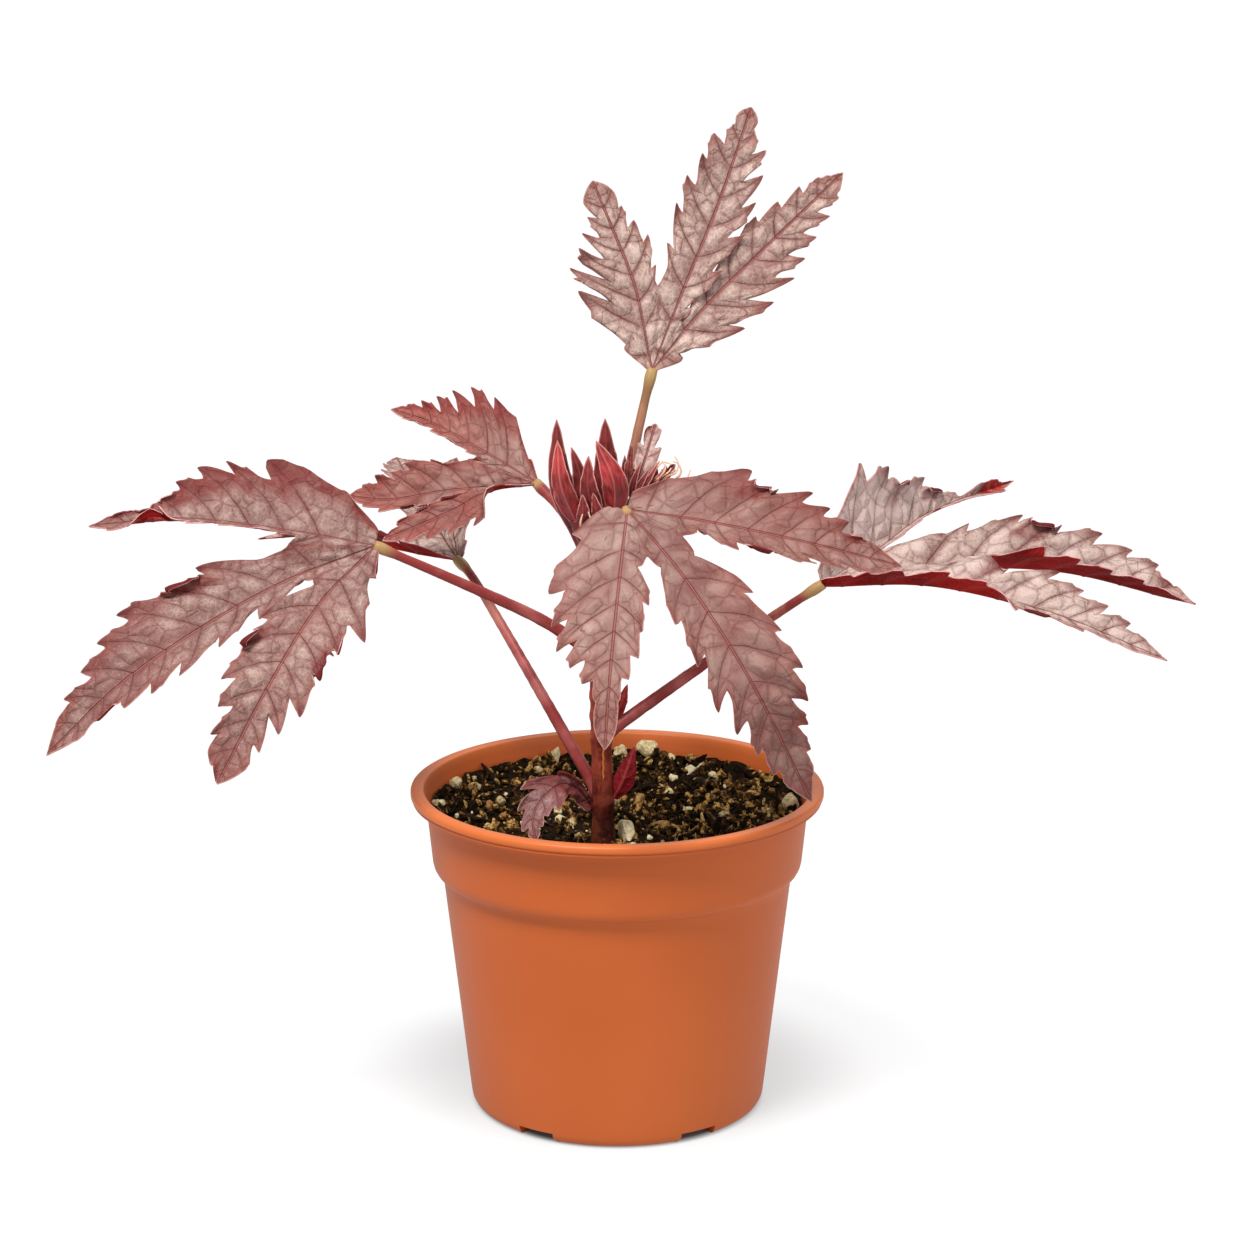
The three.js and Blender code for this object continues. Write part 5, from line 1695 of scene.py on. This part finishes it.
bark = Paint("stem_bark", Specular_IOR_Level=0.1)
lines = bark.noise(900, 4, 0.6, stretch=LENGTHWISE)
patch = bark.noise(150, 4, 0.6)
fleck = bark.noise(1200, 2, 0.6)
corky = bark.mark("along").fade(*CORKY_TO)
wood = bark.mix(patch.ramp(0.38, 0.66), BARK_RED, BARK_WARM)
wood = bark.mix(lines.ramp(0.5, 0.7) * 0.4, wood, BARK_LINE)
wood = bark.mix(corky * 0.85, wood, bark.mix(patch.ramp(0.4, 0.6), CORK_DARK, CORK_BROWN))
wood = bark.mix((fleck.ramp(0.66, 0.8) * 0.5).clamp(), wood, BARK_FLECK)
wood = bark.mix(bark.mark("split").ramp(0.25, 0.8), wood, SPLIT_WOOD)
bark_relief = bark.bump(lines + patch * 0.6 + corky * lines, 0.5, 0.0004)
stem_skin = bark.finish(Base_Color=wood, Roughness=patch * 0.25 + 0.34, Normal=bark_relief)
add_piece("stem_rod", stem_mesh, "stem", [stem_skin], "main_stem")
print("stem dressed, height in mm:", STEM_HIGH - STEM_LOW)

# %% [markdown]
# Three small leaves grow low on the stem, and one that is just opening stands beside the buds.
# They are made by the same net as the big leaves, with fewer teeth and thinner skins. The one at
# the soil is mauve and bends over, with a dark red base. The other two low ones have smooth rims,
# like the scales of a bud. The young leaf by the buds is silvery in the middle with red sides.

# %% Small leaves
SMALL_LEAVES = {
    "basal_leaf": dict(
        junction=(-7.0, -16.2, 93.0), face=(-0.25, -0.85, 0.45), join=(),
        lobes=[
            dict(midrib=[(-10.8, -18, 99.0), (-15.5, -21, 101.8), (-20.4, -26, 99.8),
                         (-23.6, -30, 95.0), (-22.8, -34, 88.6)],
                 fold=(12, 30), left=(2.0, 3.4, 5.0, 6.6, 3.8), right=(1.6, 2.6, 4.2, 7.4, 4.6),
                 teeth=6, blush=0.2, bloom=0.6, base_red=1, depth=(0.3, 0.4), dark_tips=0),
        ]),
    "young_leaf": dict(
        junction=(4, -12.5, 182.5), face=(-0.1, -0.97, 0.2), join=(2, 2),
        lobes=[
            dict(midrib=[(3.6, -12.5, 189), (4.2, -12, 198.5)], fold=(30, 30), blush=1.0, bloom=0,
                 left=(0, 1.2, 2.0, 1.9, 1), right=(0, 1, 1.7, 1.6, 0.9), teeth=3),
            dict(midrib=[(6.6, -12.5, 190), (10.9, -11, 204)], fold=(10, 10), blush=0, bloom=1.4,
                 dark_tips=0, left=(0, 1.4, 3.0, 4.2, 3.4), right=(0, 1.7, 3.8, 5.0, 3.6),
                 teeth=3, depth=(0.45, 0.45), smooth_tip=(0.9, 1), blunt=2.4),
            dict(midrib=[(9, -12.5, 186), (16.5, -11.5, 192.5)], fold=(20, 20), blush=1.0, bloom=0,
                 hem_red=(1, 1), left=(0, 1.4, 2.8, 3.0, 2.0), right=(0.8, 1.7, 2.6, 2.8, 1.8),
                 teeth=5, depth=(0.75, 0.75), smooth_tip=(0.9, 1)),
        ]),
    "basal_bud_leaf": dict(
        junction=(-1.0, -15.4, 96.0), face=(0.25, 0.85, 0.3), join=(),
        lobes=[
            dict(midrib=[(1.6, -16.2, 101.5), (5.0, -14, 111)], fold=(24, 24), depth=(0, 0),
                 rolled=(0, 0), left=(1.2, 2.6, 3.8, 3.0, 1.4), right=(1.2, 2.2, 3.2, 2.6, 1.2), teeth=4),
        ]),
    "axil_leaf": dict(
        junction=(-2.2, -15.6, 118.5), face=(0.2, 0.85, 0.2), join=(),
        lobes=[
            dict(midrib=[(0.6, -16.2, 123), (3, -16, 130)], fold=(30, 30), depth=(0, 0),
                 rolled=(0, 0), left=(0.6, 1.5, 2.1, 1.8, 0.9), right=(0.6, 1.5, 2.1, 1.8, 0.9), teeth=4),
        ]),
}
YOUNG_STALK = [(-6, -15, 163), (-0.2, -15, 174.5), (4, -12.5, 182.5)]
SMALL_THICKNESS = 0.26
SMALL_ROWS = 6
print("small leaves:", ", ".join(SMALL_LEAVES))

# %% Finishes of the small leaves
YOUNG = dict(skin=(0.30, 0.135, 0.11), silver=(0.50, 0.36, 0.31), vein=(0.20, 0.04, 0.033),
             rim=(0.16, 0.016, 0.016), deep=(0.20, 0.065, 0.055), hem=HEM_RED)
BASAL = dict(skin=(0.165, 0.078, 0.076), silver=(0.26, 0.160, 0.150), vein=(0.12, 0.022, 0.026),
             rim=(0.20, 0.060, 0.060), deep=(0.12, 0.040, 0.045), hem=HEM_RED)
YOUNG_WINE = (0.11, 0.004, 0.007)
YOUNG_WINE_BRIGHT = (0.20, 0.010, 0.013)
YOUNG_CORD = (0.26, 0.035, 0.032)
YOUNG_PINK = (0.46, 0.15, 0.125)
YOUNG_DUSK = (0.28, 0.03, 0.03)

young_upper = upper_finish("young_upper_side", YOUNG, veins=0.5)
basal_upper = upper_finish("basal_upper_side", BASAL, veins=0.7)
young_under = under_finish("young_underside", YOUNG_WINE, YOUNG_WINE_BRIGHT, YOUNG_CORD)
young_rim = rim_finish("young_rim", YOUNG_PINK, YOUNG_DUSK)
print("finishes so far:", len(bpy.data.materials))

# %% Grow the small leaves
for index, (name, leaf) in enumerate(SMALL_LEAVES.items()):
    blade = make_blade("blade_" + name, {**leaf, "seed": 1000 + 100 * index}, SMALL_THICKNESS, SMALL_ROWS)
    basal = name == "basal_leaf"
    skins = [basal_upper if basal else young_upper, young_under, young_rim]
    add_piece("blade_" + name, blade, "leaf" if basal else "young_leaf", skins, name)
young_rod = make_rod("stalk_rod_young", YOUNG_STALK, lambda s: 0.95 - 0.1 * s, sides=16,
                     ring_gap=0.7, seed=71, ribs=0.03, run_on=(0.5, 0.3))
add_piece("stalk_rod_young", young_rod, "stalk", [stalk_skin], "stalk_young")
print("young stalk faces:", len(young_rod.polygons))

# %% [markdown]
# The tip of the stem is two knots of leaves that are still folded, like hands pressed together.
# Each young leaf is a long pointed blade, folded along its midrib with its red outside showing
# and a thin pale rim. One blade in front of each knot is brighter and shinier than the rest, which
# are a dull red. Modelled as one lump with grooves they would lose their edges, so each is a blade
# of its own on a short foot. Five narrow bracts stand by the young leaf.

# %% Folded blades of the buds
BUD_SHAPE = (0.45, 0.85, 1, 0.78, 0.42)
BUDS = {
    "bud_left": [
        dict(foot=(-12.4, -12.5, 174.5), midrib=[(-16.3, -11.5, 190), (-16.8, -12.5, 205.6)],
             face=(0.1, 0.95, 0), width=4.1, fold=28),
        dict(foot=(-11.2, -14, 176), midrib=[(-15.6, -18, 188), (-16.5, -16.5, 200.3)],
             face=(0.1, 0.9, 0.1), width=3.7, fold=30),
        dict(foot=(-10.2, -12.4, 176), midrib=[(-9.8, -12.5, 187), (-12.8, -12, 197.5)],
             face=(-0.35, 0.85, 0), width=3.3, fold=30),
        dict(foot=(-9.8, -14.5, 175), midrib=[(-9.4, -16.5, 180), (-9.6, -16.5, 185)],
             face=(0.2, 0.9, 0.1), width=2.3, fold=26),
    ],
    "bud_right": [
        dict(foot=(-3.8, -12.5, 176), midrib=[(-3.0, -10, 190), (-3.3, -11, 205.6)],
             face=(0, 0.95, 0), width=4.4, fold=28),
        dict(foot=(-0.6, -14.5, 179), midrib=[(-0.9, -18, 189), (-5.8, -16.5, 200.2)],
             face=(0.1, 0.9, 0.1), width=4.2, fold=24),
        dict(foot=(-5.6, -14, 177), midrib=[(-8.0, -15.5, 186), (-7.9, -14, 195.4)],
             face=(0.3, 0.9, 0), width=3.3, fold=22),
        dict(foot=(-4.4, -14.8, 175), midrib=[(-5.6, -17, 180), (-6.6, -16.8, 185.5)],
             face=(0.3, 0.9, 0), width=2.3, fold=30),
        dict(foot=(-2.2, -12, 177), midrib=[(1.4, -11, 185), (2.2, -11.5, 195.2)],
             face=(-0.3, 0.9, 0), width=2.2, fold=36),
    ],
}
BRACT_FOOT = (4, -12.7, 182.6)
BRACT_WIDTH = 1.3
BRACT_FOLD = 30
BRACT_ROUTES = [
    dict(midrib=[(4.6, -14.2, 187.5), (6.8, -14.2, 193.9)], face=(-0.1, -0.95, 0.2)),
    dict(midrib=[(6.6, -14.6, 187.5), (9.6, -14.4, 192.6)], face=(-0.2, -0.95, 0.2)),
    dict(midrib=[(8.4, -14.8, 188.0), (11.9, -14.2, 194.0)], face=(-0.3, -0.9, 0.3)),
    dict(midrib=[(10.0, -14.6, 187.6), (13.9, -14.2, 192.4)], face=(-0.3, -0.9, 0.4)),
    dict(midrib=[(11.6, -14.4, 187.0), (16.4, -14.0, 191.4)], face=(-0.3, -0.85, 0.5)),
]
BRACTS = [dict(foot=BRACT_FOOT, width=BRACT_WIDTH, fold=BRACT_FOLD, **route) for route in BRACT_ROUTES]
BUD_FEET = {
    "bud_left": [(-8.2, -13.6, 168.5), (-10.2, -13.2, 173.5), (-11.6, -13, 177)],
    "bud_right": [(-5.6, -13, 169.5), (-4.6, -13.2, 174), (-3.6, -13.2, 177.5)],
}
print("folded blades:", sum(len(blades) for blades in BUDS.values()), "bracts:", len(BRACTS))

# %% [markdown]
# The dull blades of a knot and its foot are one piece, so their meshes are joined. The Join
# operator needs a selection and a view, so the points, the faces and the marks are put together
# here instead. A mark that a mesh doesn't have is filled with ones.

# %% Join meshes
def join_meshes(name, meshes):
    """One mesh of several, with their marks and their material numbers kept."""
    points, faces, layers, marks, start = [], [], [], {}, 0
    for mesh in meshes:
        count = len(mesh.vertices)
        flat = np.empty(count * 3, np.float32)
        mesh.vertices.foreach_get("co", flat)
        points.append(flat.reshape(-1, 3) / MM)
        faces += [tuple(start + i for i in face.vertices) for face in mesh.polygons]
        layers += [face.material_index for face in mesh.polygons]
        for mark, width in (("net", 3), ("rim", 3), ("along", 1)):
            values = np.ones(count * width, np.float32)
            if mark in mesh.attributes:
                mesh.attributes[mark].data.foreach_get("vector" if width == 3 else "value", values)
            marks.setdefault(mark, []).append(values.reshape(-1, 3) if width == 3 else values)
        start += count
    marks = {mark: np.concatenate(values) for mark, values in marks.items()}
    joined = make_mesh(name, np.vstack(points), faces, marks)
    joined.polygons.foreach_set("material_index", layers)
    return joined


# %% Finishes of the buds
PALE_HEM = (0.52, 0.22, 0.19)
DULL_RED = (0.19, 0.013, 0.013)
DULL_PINK = (0.28, 0.042, 0.036)
DULL_DEEP_AND_SHADE = (0.075, 0.003, 0.004)
BRIGHT_RED = (0.36, 0.022, 0.025)
BRIGHT_PINK = (0.52, 0.120, 0.110)
BRIGHT_DEEP_AND_SHADE = (0.16, 0.004, 0.005)


def bud_finish(name, red, pink, deep, rough):
    """Lengthwise veins that follow the net, streaks between them, painted shade towards the foot, a painted
    highlight along the midrib's fold, and a satin gloss.
    """
    paint = Paint(name, Specular_IOR_Level=0.35)
    station, span, reach = paint.parts("net")
    rim = paint.parts("rim")[0]
    streak = paint.node("ShaderNodeCombineXYZ", {}, {"X": span * 9, "Y": station * 0.35})
    lines = paint.noise(1.6, 4, 0.6, streak)
    patch = paint.noise(120, 3)
    rib = (span * reach).fade(0.08, 0.3)
    colour = paint.mix(patch.ramp(0.38, 0.66), deep, red)
    colour = paint.mix(lines.ramp(0.45, 0.72) * 0.6, colour, pink)
    # Painted shade: darker towards the foot of each blade.
    colour = paint.mix(station.fade(0.5, 5.0) * 0.7, colour, deep)
    colour = paint.mix(rim.fade(0.06, 0.36) * 0.85, colour, PALE_HEM)
    # Painted highlight: paler along the fold of the midrib.
    colour = paint.mix(rib * 0.45, colour, pink)
    skin = paint.bump(lines + rib, 0.4, 0.0003)
    return paint.finish(Base_Color=colour, Roughness=patch * 0.12 + rough, Normal=skin)


dull_red = bud_finish("folded_blade_dull", DULL_RED, DULL_PINK, DULL_DEEP_AND_SHADE, 0.44)
bright_red = bud_finish("folded_blade_bright", BRIGHT_RED, BRIGHT_PINK, BRIGHT_DEEP_AND_SHADE, 0.36)
print("nodes of a folded blade:", len(dull_red.node_tree.nodes))

# %% Fold the blades and stand them on their feet
FOLDED_ROWS = 4
FRONT_BLADE = 1


def fold_blade(name, blade, seed):
    widths = tuple(share * blade["width"] for share in BUD_SHAPE)
    lobe = dict(midrib=blade["midrib"], fold=(blade["fold"],) * 2, left=widths, right=widths,
                teeth=5, depth=(0, 0), rolled=(0, 0))
    leaf = dict(junction=blade["foot"], face=blade["face"], join=(), lobes=[lobe], seed=seed)
    return make_blade(name, leaf, SMALL_THICKNESS, FOLDED_ROWS)


def foot_radius(share):
    return 1.5 + 1.1 * share - 0.9 * share**3


for index, (name, blades) in enumerate(BUDS.items()):
    seed = 2000 + 100 * index
    folded = [fold_blade(f"{name}_{k}", blade, seed + 7 * k) for k, blade in enumerate(blades)]
    bright = join_meshes(name + "_front", [folded.pop(FRONT_BLADE)])
    foot = make_rod(name + "_foot", BUD_FEET[name], foot_radius, sides=20, ring_gap=0.6,
                    seed=80 + index, ribs=0.04)
    dull = join_meshes(name + "_outer", [*folded, foot])
    add_piece(name + "_outer", dull, "young_leaf", [dull_red, dull_red, young_rim], name)
    add_piece(name + "_front", bright, "young_leaf", [bright_red, bright_red, young_rim])
    print(name, "faces:", len(dull.polygons) + len(bright.polygons))
bract_blades = [fold_blade(f"bract_{k}", blade, 2300 + 7 * k) for k, blade in enumerate(BRACTS)]
bracts = join_meshes("bracts", bract_blades)
add_piece("bracts", bracts, "young_leaf", [dull_red, bright_red, young_rim])
print("bract faces:", len(bracts.polygons))

# %% [markdown]
# Beside the young leaf and at some of the stalks' feet stand thin curled strands, the dry stipules
# of leaves that have opened. Hair would be particles, which aren't meshes, so they are very thin
# rods on curved routes, red at the foot and straw-coloured at the tip. Without them the young tip
# looks too clean.

# %% Stipules
STIPULES = [
    [(8.6, -13, 187), (10.4, -14.2, 191), (12.8, -14.4, 193.6), (15.2, -14, 193.0)],
    [(10.5, -13, 186), (14.0, -14.6, 189.6), (16.4, -14.2, 190.6), (17.2, -13.6, 193.0),
     (16.2, -13.4, 195.2)],
    [(11.5, -12.6, 186), (15.6, -13.4, 187.4), (19.4, -13.6, 188.6), (20.6, -13.2, 191.4)],
    [(9.6, -13.4, 187), (12.2, -14.8, 189.6), (13.6, -15.0, 192.2), (12.6, -14.6, 194.2)],
    [(12.6, -12.8, 186.4), (16.4, -13.8, 188.6), (18.0, -13.8, 190.8), (17.0, -13.8, 193.2),
     (15.6, -13.8, 193.8)],
    [(8.8, -13.2, 186.4), (11.4, -14.6, 189.0), (14.6, -14.6, 191.0), (15.2, -14.4, 192.0)],
    [(-9.2, -15.6, 173), (-10.2, -17, 176.4), (-9.6, -17.2, 179.4)],
    [(-6.6, -15.4, 173), (-7.0, -16.8, 177), (-8.0, -17, 180)],
    [(-2.2, -15.2, 121), (-0.6, -17.4, 124.4), (0.6, -18, 128.5)],
    [(-6.6, -16, 139), (-9.4, -17.4, 142), (-10.4, -17.6, 146)],
]
STRAND_FOOT = 0.52
STRAND_TIP = 0.16
STRAND_RED = (0.17, 0.014, 0.012)
STRAW = (0.66, 0.40, 0.27)


def strand_radius(share):
    return STRAND_FOOT - (STRAND_FOOT - STRAND_TIP) * share


strand_paint = Paint("stipule_skin", Specular_IOR_Level=0.3)
streak = strand_paint.noise(900, 3, 0.6)
dryness = (strand_paint.mark("along").ramp(0.15, 0.8) + streak * 0.4 - 0.2).clamp()
strand_skin = strand_paint.finish(Base_Color=strand_paint.mix(dryness, STRAND_RED, STRAW),
                                  Roughness=streak * 0.2 + 0.45,
                                  Normal=strand_paint.bump(streak, 0.4, 0.0002))
strands = [make_rod(f"stipule_{index}", route, strand_radius, sides=10, ring_gap=0.35,
                    seed=90 + index, ribs=0.08, rib_count=3)
           for index, route in enumerate(STIPULES)]
add_piece("stipules", join_meshes("stipules", strands), "young_leaf", [strand_skin])
print("stipules:", len(STIPULES))

# %% [markdown]
# The last step prints the box of the dressed plant beside the box of its solids.

# %% Size
dressed_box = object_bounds()
for before, after in zip(SOLID_BOX, dressed_box):
    print("box mm", [round(c / MM, 1) for c in before], "->", [round(c / MM, 1) for c in after])
